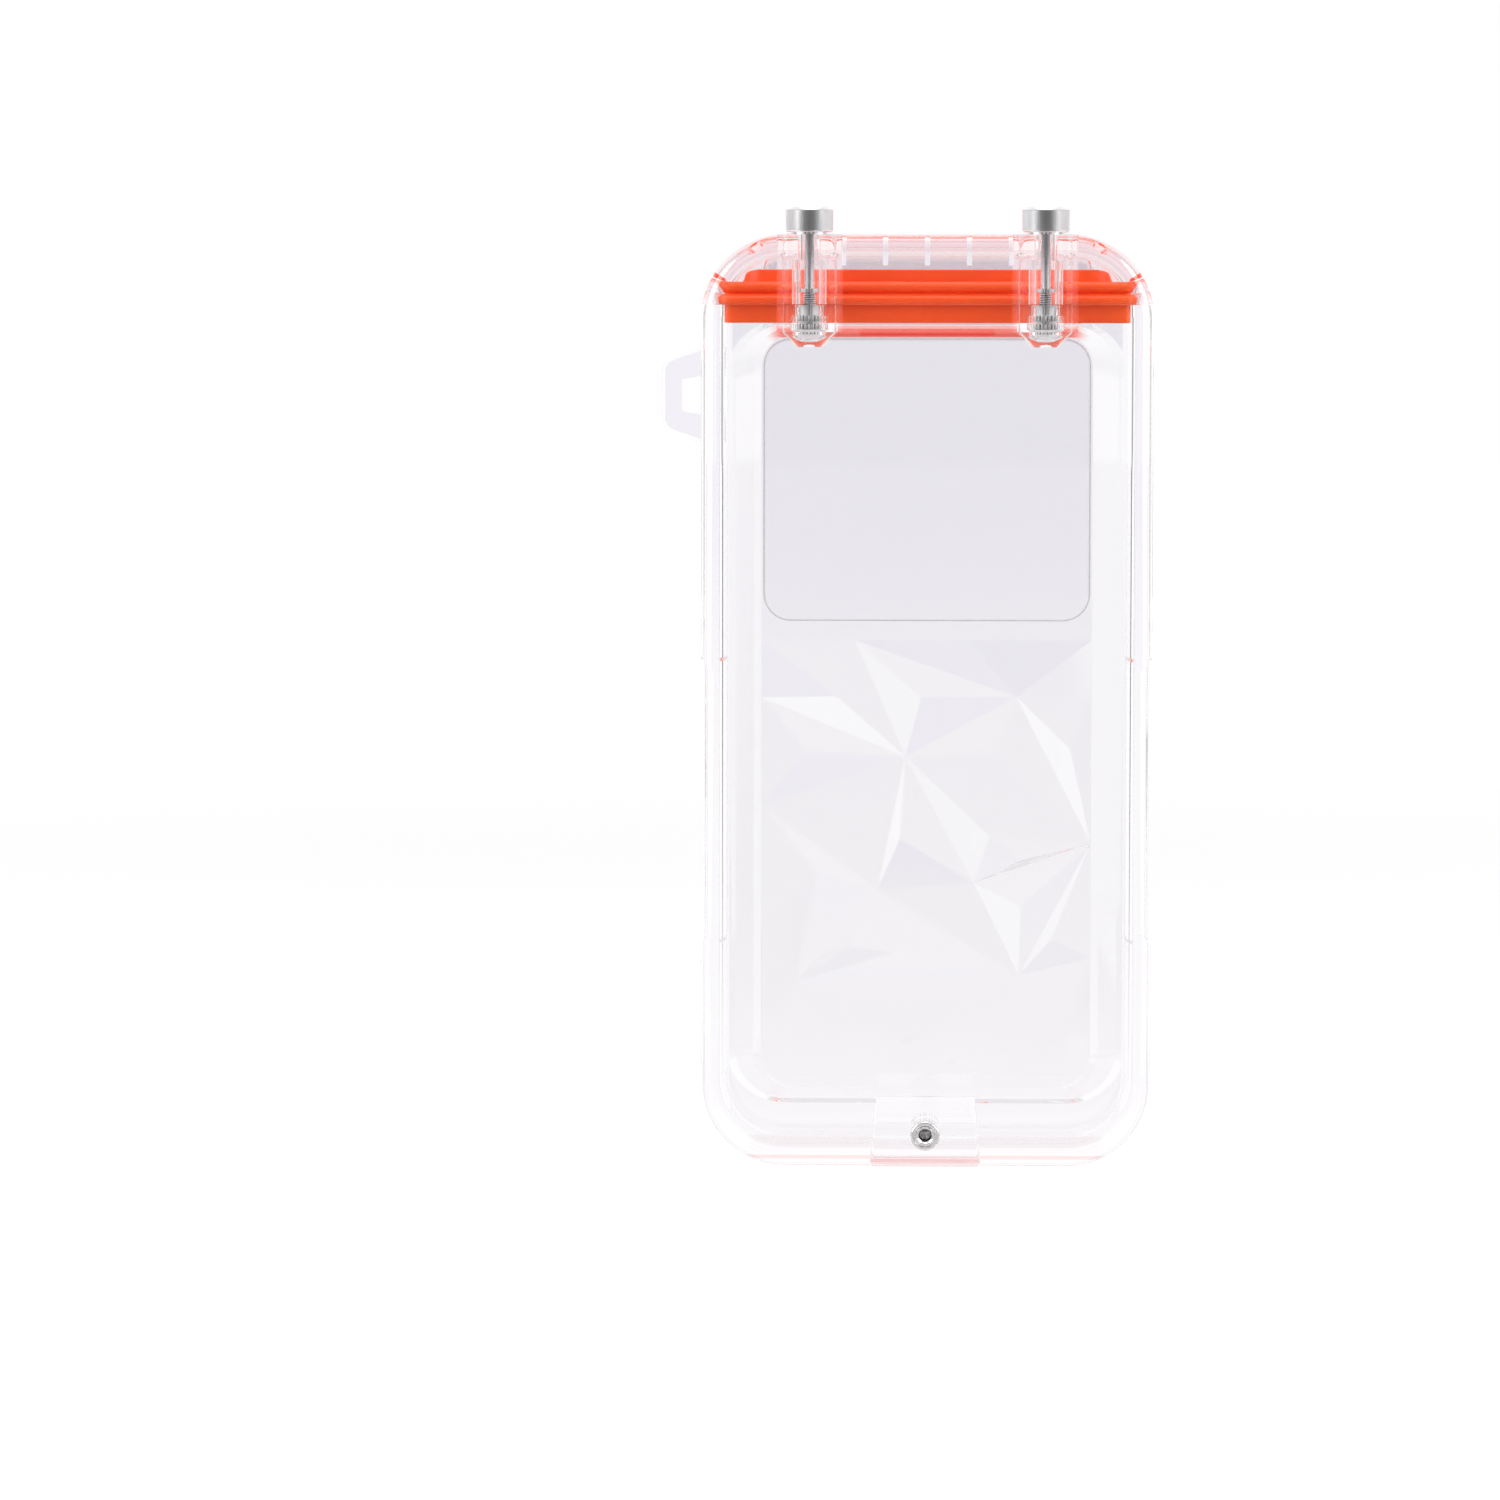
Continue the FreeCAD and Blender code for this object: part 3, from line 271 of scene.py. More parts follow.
class MeshMaker:
    """Gathers grids of points into one closed mesh."""

    def __init__(self) -> None:
        """Start with nothing."""
        self.points: list[np.ndarray] = []
        self.hollows: list[np.ndarray] = []
        self.quads: list[np.ndarray] = []
        self.triangles: list[np.ndarray] = []
        self.count = 0

    def add_points(self, points: np.ndarray, hollow: np.ndarray | float = 0.0) -> np.ndarray:
        """Add points and give their numbers in the same arrangement.

        Args:
            points: Places, with the three coordinates last.
            hollow: How deep each point lies in a groove, from 0 to 1, for roughness and painted shade.

        Returns:
            The points' numbers.
        """
        numbers = self.count + np.arange(points[..., 0].size).reshape(points.shape[:-1])
        self.points.append(points.reshape(-1, 3))
        self.hollows.append(np.broadcast_to(hollow, numbers.shape).reshape(-1))
        self.count += numbers.size
        return numbers

    def join_rows(self, numbers: np.ndarray, close_rows: bool) -> None:
        """Join each row of points to the next with quads, round the closed columns.

        Args:
            numbers: Point numbers, with the shape (rows, columns).
            close_rows: Whether the last row joins the first one.
        """
        after = np.roll(numbers, -1, axis=1)
        low, low_after = (numbers, after) if close_rows else (numbers[:-1], after[:-1])
        high, high_after = np.roll(numbers, -1, axis=0), np.roll(after, -1, axis=0)
        if not close_rows:
            high, high_after = high[:-1], high_after[:-1]
        self.quads.append(np.stack((low, low_after, high_after, high), axis=-1).reshape(-1, 4))

    def close_ring(self, ring: np.ndarray, centre: np.ndarray, last: bool) -> None:
        """Close a ring of points with a fan of triangles to one centre point.

        Args:
            ring: Numbers of the ring's points.
            centre: Place of the centre point.
            last: Whether the ring ends the grid, so that the fan faces the other way.
        """
        middle = self.add_points(centre.reshape(1, 3))[0]
        after = np.roll(ring, -1)
        order = (ring, after) if last else (after, ring)
        self.triangles.append(np.stack((*order, np.full_like(ring, middle)), axis=-1))

    def add_turned(self, grid: np.ndarray, hollow: np.ndarray | float = 0.0) -> None:
        """Add a turned grid and close both its ends at the axis.

        Args:
            grid: Points of the grid, one ring to a row.
            hollow: How deep each point lies in a groove, from 0 to 1.
        """
        numbers = self.add_points(grid, hollow)
        self.join_rows(numbers, close_rows=False)
        self.close_ring(numbers[0], grid[0].mean(axis=0), last=False)
        self.close_ring(numbers[-1], grid[-1].mean(axis=0), last=True)

    def finish(self, name: str, sharp_degrees: float) -> bpy.types.Object:
        """Make the object, with its faces outwards and smooth but for sharp edges.

        Args:
            name: Name of the object.
            sharp_degrees: Angle between faces above which their edge is sharp.

        Returns:
            The object, linked to the scene and at the origin.
        """
        points = np.concatenate(self.points)
        quads = np.concatenate(self.quads) if self.quads else np.zeros((0, 4), int)
        triangles = np.concatenate(self.triangles) if self.triangles else np.zeros((0, 3), int)
        halves = np.concatenate((triangles, quads[:, (0, 1, 2)], quads[:, (0, 2, 3)]))
        a, b, c = (points[halves[:, corner]] for corner in range(3))
        if np.einsum("ij,ij->i", a, np.cross(b, c)).sum() < 0:
            quads, triangles = quads[:, ::-1], triangles[:, ::-1]
        mesh = bpy.data.meshes.new(name)
        mesh.from_pydata(points.tolist(), [], [*quads.tolist(), *triangles.tolist()])
        mesh.shade_smooth()
        mesh.set_sharp_from_angle(angle=math.radians(sharp_degrees))
        depth = mesh.attributes.new("hollow", "FLOAT", "POINT")
        depth.data.foreach_set("value", np.concatenate(self.hollows).astype(np.float32))
        mesh.validate()
        made = bpy.data.objects.new(name, mesh)
        bpy.context.scene.collection.objects.link(made)
        return made


# Shader groups and finishes
class NodeSketch:
    """A node tree with short ways to add nodes and link them."""

    def __init__(self, tree: bpy.types.NodeTree) -> None:
        """Keep the tree that is drawn in."""
        self.tree = tree

    def add(self, kind: str, settings: dict | None = None, *values: Fed, **inputs: Fed) -> bpy.types.Node:
        """Add a node, set its properties and set or link its inputs.

        Args:
            kind: Type name of the node, without ShaderNode.
            settings: Properties of the node by name.
            *values: What feeds its inputs, in their order.
            **inputs: What feeds an input by name, with underscores for spaces.

        Returns:
            The new node.
        """
        node = self.tree.nodes.new("ShaderNode" + kind)
        for name, value in (settings or {}).items():
            setattr(node, name, value)
        for socket, value in zip(node.inputs, values):
            self.feed(socket, value)
        for name, value in inputs.items():
            self.feed(node.inputs[name.replace("_", " ")], value)
        return node

    def feed(self, socket: bpy.types.NodeSocket, value: Fed) -> None:
        """Set a socket to a value, or link it to another socket or to a node's first output.

        Args:
            socket: Socket that is fed.
            value: What feeds it. A colour comes without its alpha, which is 1.
        """
        if isinstance(value, bpy.types.Node):
            value = value.outputs[0]
        if isinstance(value, bpy.types.NodeSocket):
            self.tree.links.new(value, socket)
        else:
            socket.default_value = (*value, 1.0) if socket.type == "RGBA" else value

    def math(self, operation: str, *values: Fed, clamp: bool = False) -> bpy.types.Node:
        """Add a Math node fed with the values in order; clamped, its result stays from 0 to 1."""
        return self.add("Math", {"operation": operation, "use_clamp": clamp}, *values)

    def times(self, first: Fed, *others: Fed) -> bpy.types.Node:
        """Multiply masks by one another.

        Args:
            first: First mask.
            *others: The other masks.

        Returns:
            The node of the last product.
        """
        for other in others:
            first = self.math("MULTIPLY", first, other)
        return first

    def eased(self, source: Fed, low: float, high: float, start: Fed = 0.0,
              end: Fed = 1.0) -> bpy.types.Node:
        """Ease from the start to the end value as the source goes from low to high."""
        return self.add("MapRange", {"interpolation_type": "SMOOTHSTEP"}, Value=source, From_Min=low,
                        From_Max=high, To_Min=start, To_Max=end)

    def ramp(self, factor: Fed, stops: tuple[tuple[float, float], ...]) -> bpy.types.Node:
        """Add a ramp of greys.

        Args:
            factor: Place along the ramp.
            stops: Places from 0 to 1, each with its tone.

        Returns:
            The node.
        """
        node = self.add("ValToRGB", Fac=factor)
        elements = node.color_ramp.elements
        for _ in stops[2:]:
            elements.new(0.5)
        for element, (position, tone) in zip(elements, stops):
            element.position = position
            element.color = (tone, tone, tone, 1.0)
        return node

    def blend(self, factor: Fed, first: Fed, second: Fed, method: str = "MIX") -> bpy.types.NodeSocket:
        """Mix two colours.

        Args:
            factor: How much of the mix counts.
            first: First colour.
            second: Second colour.
            method: Blend method.

        Returns:
            The socket of the result.
        """
        node = self.add("Mix", {"data_type": "RGBA", "blend_type": method})
        for name, value in (("Factor_Float", factor), ("A_Color", first), ("B_Color", second)):
            self.feed(next(item for item in node.inputs if item.identifier == name), value)
        return next(item for item in node.outputs if item.identifier == "Result_Color")


def new_group(name: str, inputs: dict[str, float], outputs: tuple[str, ...],
              kind: str = "NodeSocketFloat") -> tuple[bpy.types.NodeTree, NodeSketch]:
    """Start a shader group with number inputs and outputs of one kind.

    Args:
        name: Name of the group.
        inputs: Default of each number input, by name.
        outputs: Names of the outputs.
        kind: Socket type of the outputs.

    Returns:
        The group and a sketch of its tree, with its input and output nodes in it.
    """
    tree = bpy.data.node_groups.new(name, "ShaderNodeTree")
    for label, default in inputs.items():
        socket = tree.interface.new_socket(label, in_out="INPUT", socket_type="NodeSocketFloat")
        socket.default_value = default
    for label in outputs:
        tree.interface.new_socket(label, in_out="OUTPUT", socket_type=kind)
    tree.nodes.new("NodeGroupInput")
    tree.nodes.new("NodeGroupOutput")
    return tree, NodeSketch(tree)


def fine_wear_group() -> bpy.types.NodeTree:
    """Build the group of fine hairlines and haze that handled plastic and metal carry.

    Returns:
        A group that puts out a wear mask from 0 to 1 and a height for a bump.
    """
    tree, sketch = new_group(
        "fine_wear", {"Hairlines per Metre": 900.0, "Patch Scale": 40.0, "Amount": 0.5}, ("Wear", "Height"))
    given, result = tree.nodes["Group Input"], tree.nodes["Group Output"]
    place = sketch.add("TexCoord")
    lines = None
    for turn in (0.35, -0.8, 1.3):
        bent = sketch.add("Mapping", Vector=place.outputs["Object"], Rotation=(turn, turn * 0.6, turn),
                          Scale=(1.0, 0.04, 0.04))
        hair = sketch.add("TexNoise", Vector=bent, Scale=given.outputs[0], Detail=0.0)
        thin = sketch.add("MapRange", Value=hair.outputs["Fac"], From_Min=0.66, From_Max=0.74)
        lines = thin if lines is None else sketch.math("MAXIMUM", lines, thin)
    patches = sketch.add("TexNoise", Vector=place.outputs["Object"], Scale=given.outputs[1], Detail=1.0)
    where = sketch.add("MapRange", Value=patches.outputs["Fac"], From_Min=0.42, From_Max=0.72)
    wear = sketch.math("MULTIPLY", sketch.times(lines, where), given.outputs[2], clamp=True)
    sketch.feed(result.inputs["Wear"], wear)
    sketch.feed(result.inputs["Height"], sketch.math("MULTIPLY", wear, -1.0))
    return tree


def mould_flow_group() -> bpy.types.NodeTree:
    """Build the group of faint waves and specks that a thick clear moulding has.

    Returns:
        A group that puts out a wave height and a mask of small specks.
    """
    tree, sketch = new_group("mould_flow", {"Wave Scale": 30.0, "Speck Scale": 700.0}, ("Wave", "Specks"))
    given, result = tree.nodes["Group Input"], tree.nodes["Group Output"]
    place = sketch.add("TexCoord")
    stretched = sketch.add("Mapping", Vector=place.outputs["Object"], Scale=(1.0, 1.0, 0.25))
    wave = sketch.add("TexNoise", Vector=stretched, Scale=given.outputs[0], Detail=0.0)
    specks = sketch.add("TexVoronoi", {"feature": "F1"}, Vector=place.outputs["Object"],
                        Scale=given.outputs[1])
    small = sketch.add("MapRange", Value=specks.outputs["Distance"], From_Min=0.10, From_Max=0.04)
    rare = sketch.add("TexNoise", Vector=place.outputs["Object"], Scale=given.outputs[1], Detail=0.0)
    chosen = sketch.add("MapRange", Value=rare.outputs["Fac"], From_Min=0.66, From_Max=0.70)
    sketch.feed(result.inputs["Wave"], wave.outputs["Fac"])
    sketch.feed(result.inputs["Specks"], sketch.times(small, chosen))
    return tree


@dataclass(frozen=True)
class PaintedReflection:
    """A place where the clear walls' colour carries a painted reflection of the silicone seal.

    Attributes:
        name: Name of its mask.
        tint: Tint there.
        soft: Measures, each with where the mask starts and where it is full.
        sharp: Measures, each with how it is compared and its limit.
    """

    name: str
    tint: tuple[float, float, float]
    soft: tuple[tuple[str, float, float], ...]
    sharp: tuple[tuple[str, str, float], ...]


# Edges that several painted seal reflections share
SLOPE_EDGES = (("height", 188.3 * MM, 188.9 * MM), ("height", 193.4 * MM, 192.7 * MM),
               ("side", 38.0 * MM, 33.0 * MM))
SLOPE_LIMITS = (("depth", "GREATER_THAN", 10.0 * MM),)
FRONT_LIMITS = (("facing", "LESS_THAN", -0.2), ("depth", "LESS_THAN", -9.0 * MM))
FRONT_ENDS = ("side", 42.0 * MM, 39.0 * MM)
# Painted reflections of the seal in the clear walls, each with its tint and mask
PAINTED_REFLECTIONS = (
    PaintedReflection("Band", (0.94, 0.79, 0.80), (("share", 1.25, 0.85), ("height", 194.5 * MM, 198.5 * MM)),
         (("depth", "GREATER_THAN", -12.45 * MM),)),
    PaintedReflection("Slope", (0.94, 0.18, 0.14), SLOPE_EDGES, SLOPE_LIMITS),
    PaintedReflection("Strip", (0.99, 0.52, 0.40), (
        *SLOPE_EDGES, ("side", 15.7 * MM, 15.1 * MM), ("height", 188.9 * MM, 189.2 * MM),
        ("height", 191.3 * MM, 191.0 * MM)), SLOPE_LIMITS),
    PaintedReflection("Foot", (0.88, 0.60, 0.58), (
        FRONT_ENDS, ("height", 1.7 * MM, 2.1 * MM), ("height", 3.1 * MM, 2.7 * MM)), FRONT_LIMITS),
    PaintedReflection("Base", (0.89, 0.83, 0.845), (
        FRONT_ENDS, ("height", 3.1 * MM, 3.4 * MM), ("height", 8.0 * MM, 6.8 * MM)), FRONT_LIMITS),
)


def painted_seal_reflection_group() -> bpy.types.NodeTree:
    """Build the group of painted reflections of the orange seal, which tint the clear walls' colour.

    The band is the strip inside the lid's rounded outline, measured as the share of its width. The slope is
    the slanting top of the rear plateau right below the seal, with a paler strip in its middle. The foot is
    the line along the inner face of the floor, and the base is the pale strip above it. Each mask is the
    product of its edges, and an edge that several share is worked out once.

    Returns:
        A group that puts out a mask for each of the places.
    """
    tree, sketch = new_group(
        "silicone_glow",
        {"Half Width": 51.3 * MM, "Top": 212.0 * MM, "Corner": 19.3 * MM, "Band": 3.6 * MM},
        tuple(painted_light.name for painted_light in PAINTED_REFLECTIONS))
    given, result = tree.nodes["Group Input"], tree.nodes["Group Output"]
    source = sketch.add("TexCoord")
    place = sketch.add("SeparateXYZ", Vector=source.outputs["Object"])
    facing = sketch.add("SeparateXYZ", Vector=source.outputs["Normal"])
    side = sketch.math("ABSOLUTE", place.outputs["X"])
    height, corner = place.outputs["Z"], given.outputs["Corner"]
    squares = []
    for measure, limit in ((side, "Half Width"), (height, "Top")):
        centre = sketch.math("SUBTRACT", given.outputs[limit], corner)
        past = sketch.math("MAXIMUM", sketch.math("SUBTRACT", measure, centre), 0.0)
        squares.append(sketch.math("POWER", past, 2.0))
    inside = sketch.math("SUBTRACT", corner, sketch.math("SQRT", sketch.math("ADD", *squares)))
    measures = {
        "side": side, "height": height, "depth": place.outputs["Y"], "facing": facing.outputs["Y"],
        "share": sketch.math("DIVIDE", inside, given.outputs["Band"])}
    made: dict[tuple, bpy.types.Node] = {}
    for painted_light in PAINTED_REFLECTIONS:
        for edge in (*painted_light.soft, *painted_light.sharp):
            if edge not in made:
                measure, first, second = edge
                value = measures[measure]
                made[edge] = (sketch.eased(value, first, second) if edge in painted_light.soft
                              else sketch.math(first, value, second))
        mask = sketch.times(*(made[edge] for edge in (*painted_light.soft, *painted_light.sharp)))
        sketch.feed(result.inputs[painted_light.name], mask)
    return tree


@dataclass(frozen=True)
class ClearPlastic:
    """Thick clear moulded plastic: glass-clear, with faint mould waves, specks and hairlines.

    Attributes:
        shadow_share: How much of a shadow or diffuse ray goes straight through.
        detailed: Bounces after which the textures are left out.
        deepest: Bounces after which a trapped ray ends in a painted glow of the trapped tone.
        trapped: Tone of that painted glow, which stands for the light that stays trapped in the walls.
        rim: Painted shade, a dark line on the pane's edge, where the mesh says that it is hollow.
    """

    name: str
    tint: tuple[float, float, float] = (0.985, 0.983, 0.992)
    speck: tuple[float, float, float] = (0.90, 0.89, 0.92)
    index: float = 1.58
    roughness: float = 0.012
    worn_roughness: float = 0.10
    wear: float = 0.35
    wave_height: float = 0.04 * MM
    shadow_share: float = 0.93
    detailed: float = 4.5
    deepest: float = 11.5
    trapped: tuple[float, float, float] = (0.86, 0.83, 0.85)
    # Painted shade of the pane's edge
    rim: tuple[float, float, float] = (0.34, 0.29, 0.31)

    def material(self, groups: "Groups") -> bpy.types.Material:
        """Build the material.

        Args:
            groups: The shared shader groups.

        Returns:
            The finished material.
        """
        material, sketch, output = new_material(self.name)
        flow = sketch.add("Group", {"node_tree": groups.flow})
        wear = sketch.add("Group", {"node_tree": groups.wear}, Amount=self.wear)
        colour = sketch.blend(flow.outputs["Specks"], self.tint, self.speck)
        # Painted shade: a dark line on the pane's edge, where the mesh marks it hollow
        hollow = sketch.add("Attribute", {"attribute_name": "hollow"})
        colour = sketch.blend(hollow.outputs["Fac"], colour, self.rim)
        # Painted reflections of the orange seal, multiplied into the walls' colour
        masks = sketch.add("Group", {"node_tree": groups.painted_light})
        for painted_light in PAINTED_REFLECTIONS:
            painted_tint = sketch.blend(masks.outputs[painted_light.name], (1.0, 1.0, 1.0), painted_light.tint)
            colour = sketch.blend(1.0, colour, painted_tint, "MULTIPLY")
        rough = sketch.add("MapRange", Value=wear.outputs["Wear"], To_Min=self.roughness,
                           To_Max=self.worn_roughness)
        bump = sketch.add("Bump", Height=flow.outputs["Wave"], Distance=self.wave_height, Strength=1.0)
        plastic = sketch.add("BsdfPrincipled", Base_Color=colour, Roughness=rough, IOR=self.index,
                             Transmission_Weight=1.0, Normal=bump)
        plain = sketch.add("BsdfPrincipled", Base_Color=self.tint, Roughness=self.roughness,
                           IOR=self.index, Transmission_Weight=1.0)
        path = sketch.add("LightPath")
        deep = sketch.math("GREATER_THAN", path.outputs["Ray Depth"], self.detailed)
        plastic = sketch.add("MixShader", None, deep, plastic, plain)
        soft = sketch.math("MAXIMUM", path.outputs["Is Shadow Ray"], path.outputs["Is Diffuse Ray"])
        share = sketch.math("MULTIPLY", soft, self.shadow_share)
        through = sketch.add("BsdfTransparent")
        mixed = sketch.add("MixShader", None, share, plastic, through)
        # Painted glow: a ray still in the walls after many bounces ends in an emission of the trapped tone
        spent = sketch.math("GREATER_THAN", path.outputs["Ray Depth"], self.deepest)
        painted_trapped_glow = sketch.add("Emission", Color=self.trapped)
        sketch.feed(output, sketch.add("MixShader", None, spent, mixed, painted_trapped_glow))
        return material


@dataclass(frozen=True)
class Silicone:
    """Satin orange silicone with a fine skin and a raised mould line.

    Attributes:
        ends: Places across between which the ends turn pale, with painted light bent there by the clear
            walls.
        mould_line: Distance of the mould line left of the middle.
        line_edges: Half widths between which the mould line falls away.
        line_rise: Its height over the grain's.
        painted_seal_glow: Colour of the seal's painted glow for rays reaching it after many bounces in the
            walls.
        painted_glow_strength: Strength of it.
        painted_glow_from: Bounces between which it comes in.
    """

    name: str = "orange_silicone"
    colour: tuple[float, float, float] = (0.86, 0.075, 0.008)
    pale: tuple[float, float, float] = (0.88, 0.11, 0.014)
    ends: tuple[float, float] = (40.0 * MM, 49.0 * MM)
    cloud_scale: float = 70.0
    index: float = 1.42
    softness: float = 0.15
    soft_depth: float = 1.2 * MM
    roughness: float = 0.38
    worn_roughness: float = 0.6
    wear: float = 0.5
    mould_line: float = 0.9 * MM
    line_edges: tuple[float, float] = (0.22 * MM, 0.08 * MM)
    line_rise: float = 3.0
    skin_scale: float = 2600.0
    skin_height: float = 0.02 * MM
    painted_seal_glow: tuple[float, float, float] = (0.80, 0.34, 0.30)
    painted_glow_strength: float = 0.7
    painted_glow_from: tuple[float, float] = (3.0, 8.0)

    def material(self, groups: "Groups") -> bpy.types.Material:
        """Build the material.

        Args:
            groups: The shared shader groups.

        Returns:
            The finished material.
        """
        material, sketch, output = new_material(self.name)
        place = sketch.add("TexCoord")
        cloud = sketch.add("TexNoise", Vector=place.outputs["Object"], Scale=self.cloud_scale, Detail=4.0)
        parts = sketch.add("SeparateXYZ", Vector=place.outputs["Object"])
        side = sketch.math("ABSOLUTE", parts.outputs["X"])
        mottle = sketch.add("MapRange", Value=cloud.outputs["Fac"], From_Min=0.35, From_Max=0.75, To_Max=0.5)
        # Random mottle of the rubber, with painted light that turns the ends pale
        mask = sketch.math("ADD", mottle, sketch.eased(side, *self.ends, 0.0, 0.5), clamp=True)
        colour = sketch.blend(mask, self.colour, self.pale)
        wear = sketch.add("Group", {"node_tree": groups.wear}, Amount=self.wear)
        rough = sketch.add("MapRange", Value=wear.outputs["Wear"], To_Min=self.roughness,
                           To_Max=self.worn_roughness)
        skin = sketch.add("TexNoise", Vector=place.outputs["Object"], Scale=self.skin_scale, Detail=2.0)
        off_line = sketch.math("ABSOLUTE", sketch.math("ADD", parts.outputs["X"], self.mould_line))
        line = sketch.eased(off_line, *self.line_edges)
        height = sketch.math("ADD", skin.outputs["Fac"], sketch.times(line, self.line_rise))
        bump = sketch.add("Bump", Height=height, Distance=self.skin_height, Strength=0.6)
        rubber = sketch.add("BsdfPrincipled", Base_Color=colour, Roughness=rough, IOR=self.index,
                            Normal=bump, Subsurface_Weight=self.softness, Subsurface_Scale=self.soft_depth)
        path = sketch.add("LightPath")
        # Painted glow: the seal gives off light to rays that reach it after many bounces in the walls
        painted_seal_glow = sketch.eased(path.outputs["Ray Depth"], *self.painted_glow_from, 0.0, self.painted_glow_strength)
        painted_light = sketch.add("Emission", Color=self.painted_seal_glow, Strength=painted_seal_glow)
        sketch.feed(output, sketch.add("AddShader", None, rubber, painted_light))
        return material


@dataclass(frozen=True)
class TurnedMetal:
    """Turned and plated metal, with fine rings left by the tool and painted shade in its grooves.

    Attributes:
        groove_from: Hollow values between which the painted shade of the grooves comes in.
        worn_roughness: What wear and grooves add to the roughness.
    """

    name: str
    colour: tuple[float, float, float] = (0.86, 0.855, 0.865)
    dull: tuple[float, float, float] = (0.58, 0.57, 0.58)
    # Painted shade of the grooves
    groove: tuple[float, float, float] = (0.10, 0.095, 0.10)
    groove_from: tuple[float, float] = (0.35, 1.0)
    roughness: float = 0.17
    worn_roughness: float = 0.2
    wear: float = 0.8
    ring_scale: float = 450.0
    ring_height: float = 0.004 * MM

    def material(self, groups: "Groups") -> bpy.types.Material:
        """Build the material.

        Args:
            groups: The shared shader groups.

        Returns:
            The finished material.
        """
        material, sketch, output = new_material(self.name)
        place = sketch.add("TexCoord")
        rings = sketch.add("TexWave", {"wave_type": "BANDS", "bands_direction": "Z"},
                           Vector=place.outputs["Object"], Scale=self.ring_scale, Distortion=0.4, Detail=1.0)
        wear = sketch.add("Group", {"node_tree": groups.wear}, Amount=self.wear)
        colour = sketch.blend(wear.outputs["Wear"], self.colour, self.dull)
        hollow = sketch.add("Attribute", {"attribute_name": "hollow"}).outputs["Fac"]
        # Painted shade: the grooves darken as the mesh marks them hollow
        colour = sketch.blend(sketch.eased(hollow, *self.groove_from), colour, self.groove)
        rough = sketch.add("MapRange", Value=sketch.math("MAXIMUM", wear.outputs["Wear"], hollow),
                           To_Min=self.roughness, To_Max=self.roughness + self.worn_roughness)
        height = sketch.math("ADD", rings.outputs["Fac"], wear.outputs["Height"])
        bump = sketch.add("Bump", Height=height, Distance=self.ring_height, Strength=0.6)
        metal = sketch.add("BsdfPrincipled", Base_Color=colour, Roughness=rough, Metallic=1.0, Normal=bump)
        sketch.feed(output, metal)
        return material


@dataclass
class Groups:
    """The shader groups that several finishes share."""

    wear: bpy.types.NodeTree
    flow: bpy.types.NodeTree
    painted_light: bpy.types.NodeTree


def new_material(name: str) -> tuple[bpy.types.Material, NodeSketch, bpy.types.NodeSocket]:
    """Start a material with an empty tree.

    Args:
        name: Name of the material.

    Returns:
        The material, a sketch of its tree and the surface socket of its output.
    """
    material = bpy.data.materials.new(name)
    material.use_nodes = True
    material.node_tree.nodes.clear()
    sketch = NodeSketch(material.node_tree)
    return material, sketch, sketch.add("OutputMaterial").inputs["Surface"]


@dataclass
class Finishes:
    """Every finish of the case, built once; the closure's tint is painted pink by the seal's reflection."""

    clear: bpy.types.Material
    closure: bpy.types.Material
    pane: bpy.types.Material
    silicone: bpy.types.Material
    steel: bpy.types.Material
    plated: bpy.types.Material

    @classmethod
    def build(cls) -> "Finishes":
        """Build the shared groups and every finish.

        Returns:
            The finishes.
        """
        groups = Groups(fine_wear_group(), mould_flow_group(), painted_seal_reflection_group())
        return cls(
            clear=ClearPlastic("clear_moulding").material(groups),
            # Painted reflection: a pink tint for the seal's light in the lid
            closure=ClearPlastic("clear_closure", tint=(0.955, 0.928, 0.940)).material(groups),
            pane=ClearPlastic(
                "clear_pane", tint=(0.965, 0.962, 0.972), wave_height=0.01 * MM).material(groups),
            silicone=Silicone().material(groups),
            steel=TurnedMetal("polished_steel").material(groups),
            plated=TurnedMetal(
                "plated_insert", colour=(0.74, 0.73, 0.73), roughness=0.2).material(groups),
        )


def dress(thing: bpy.types.Object, material: bpy.types.Material) -> None:
    """Give a piece its only material.

    Args:
        thing: The piece.
        material: Its material.
    """
    if thing.data.materials:
        for number in range(len(thing.material_slots)):
            thing.material_slots[number].material = material
    else:
        thing.data.materials.append(material)


# Pieces of the case
def upright_axis(node: str) -> Vector:
    """Find the foot of a piece's upright axis.

    Args:
        node: Name of the piece's CAD node.

    Returns:
        The middle of its box, at the height of the origin.
    """
    low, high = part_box(node)
    return Vector(((low.x + high.x) / 2, (low.y + high.y) / 2, 0.0))


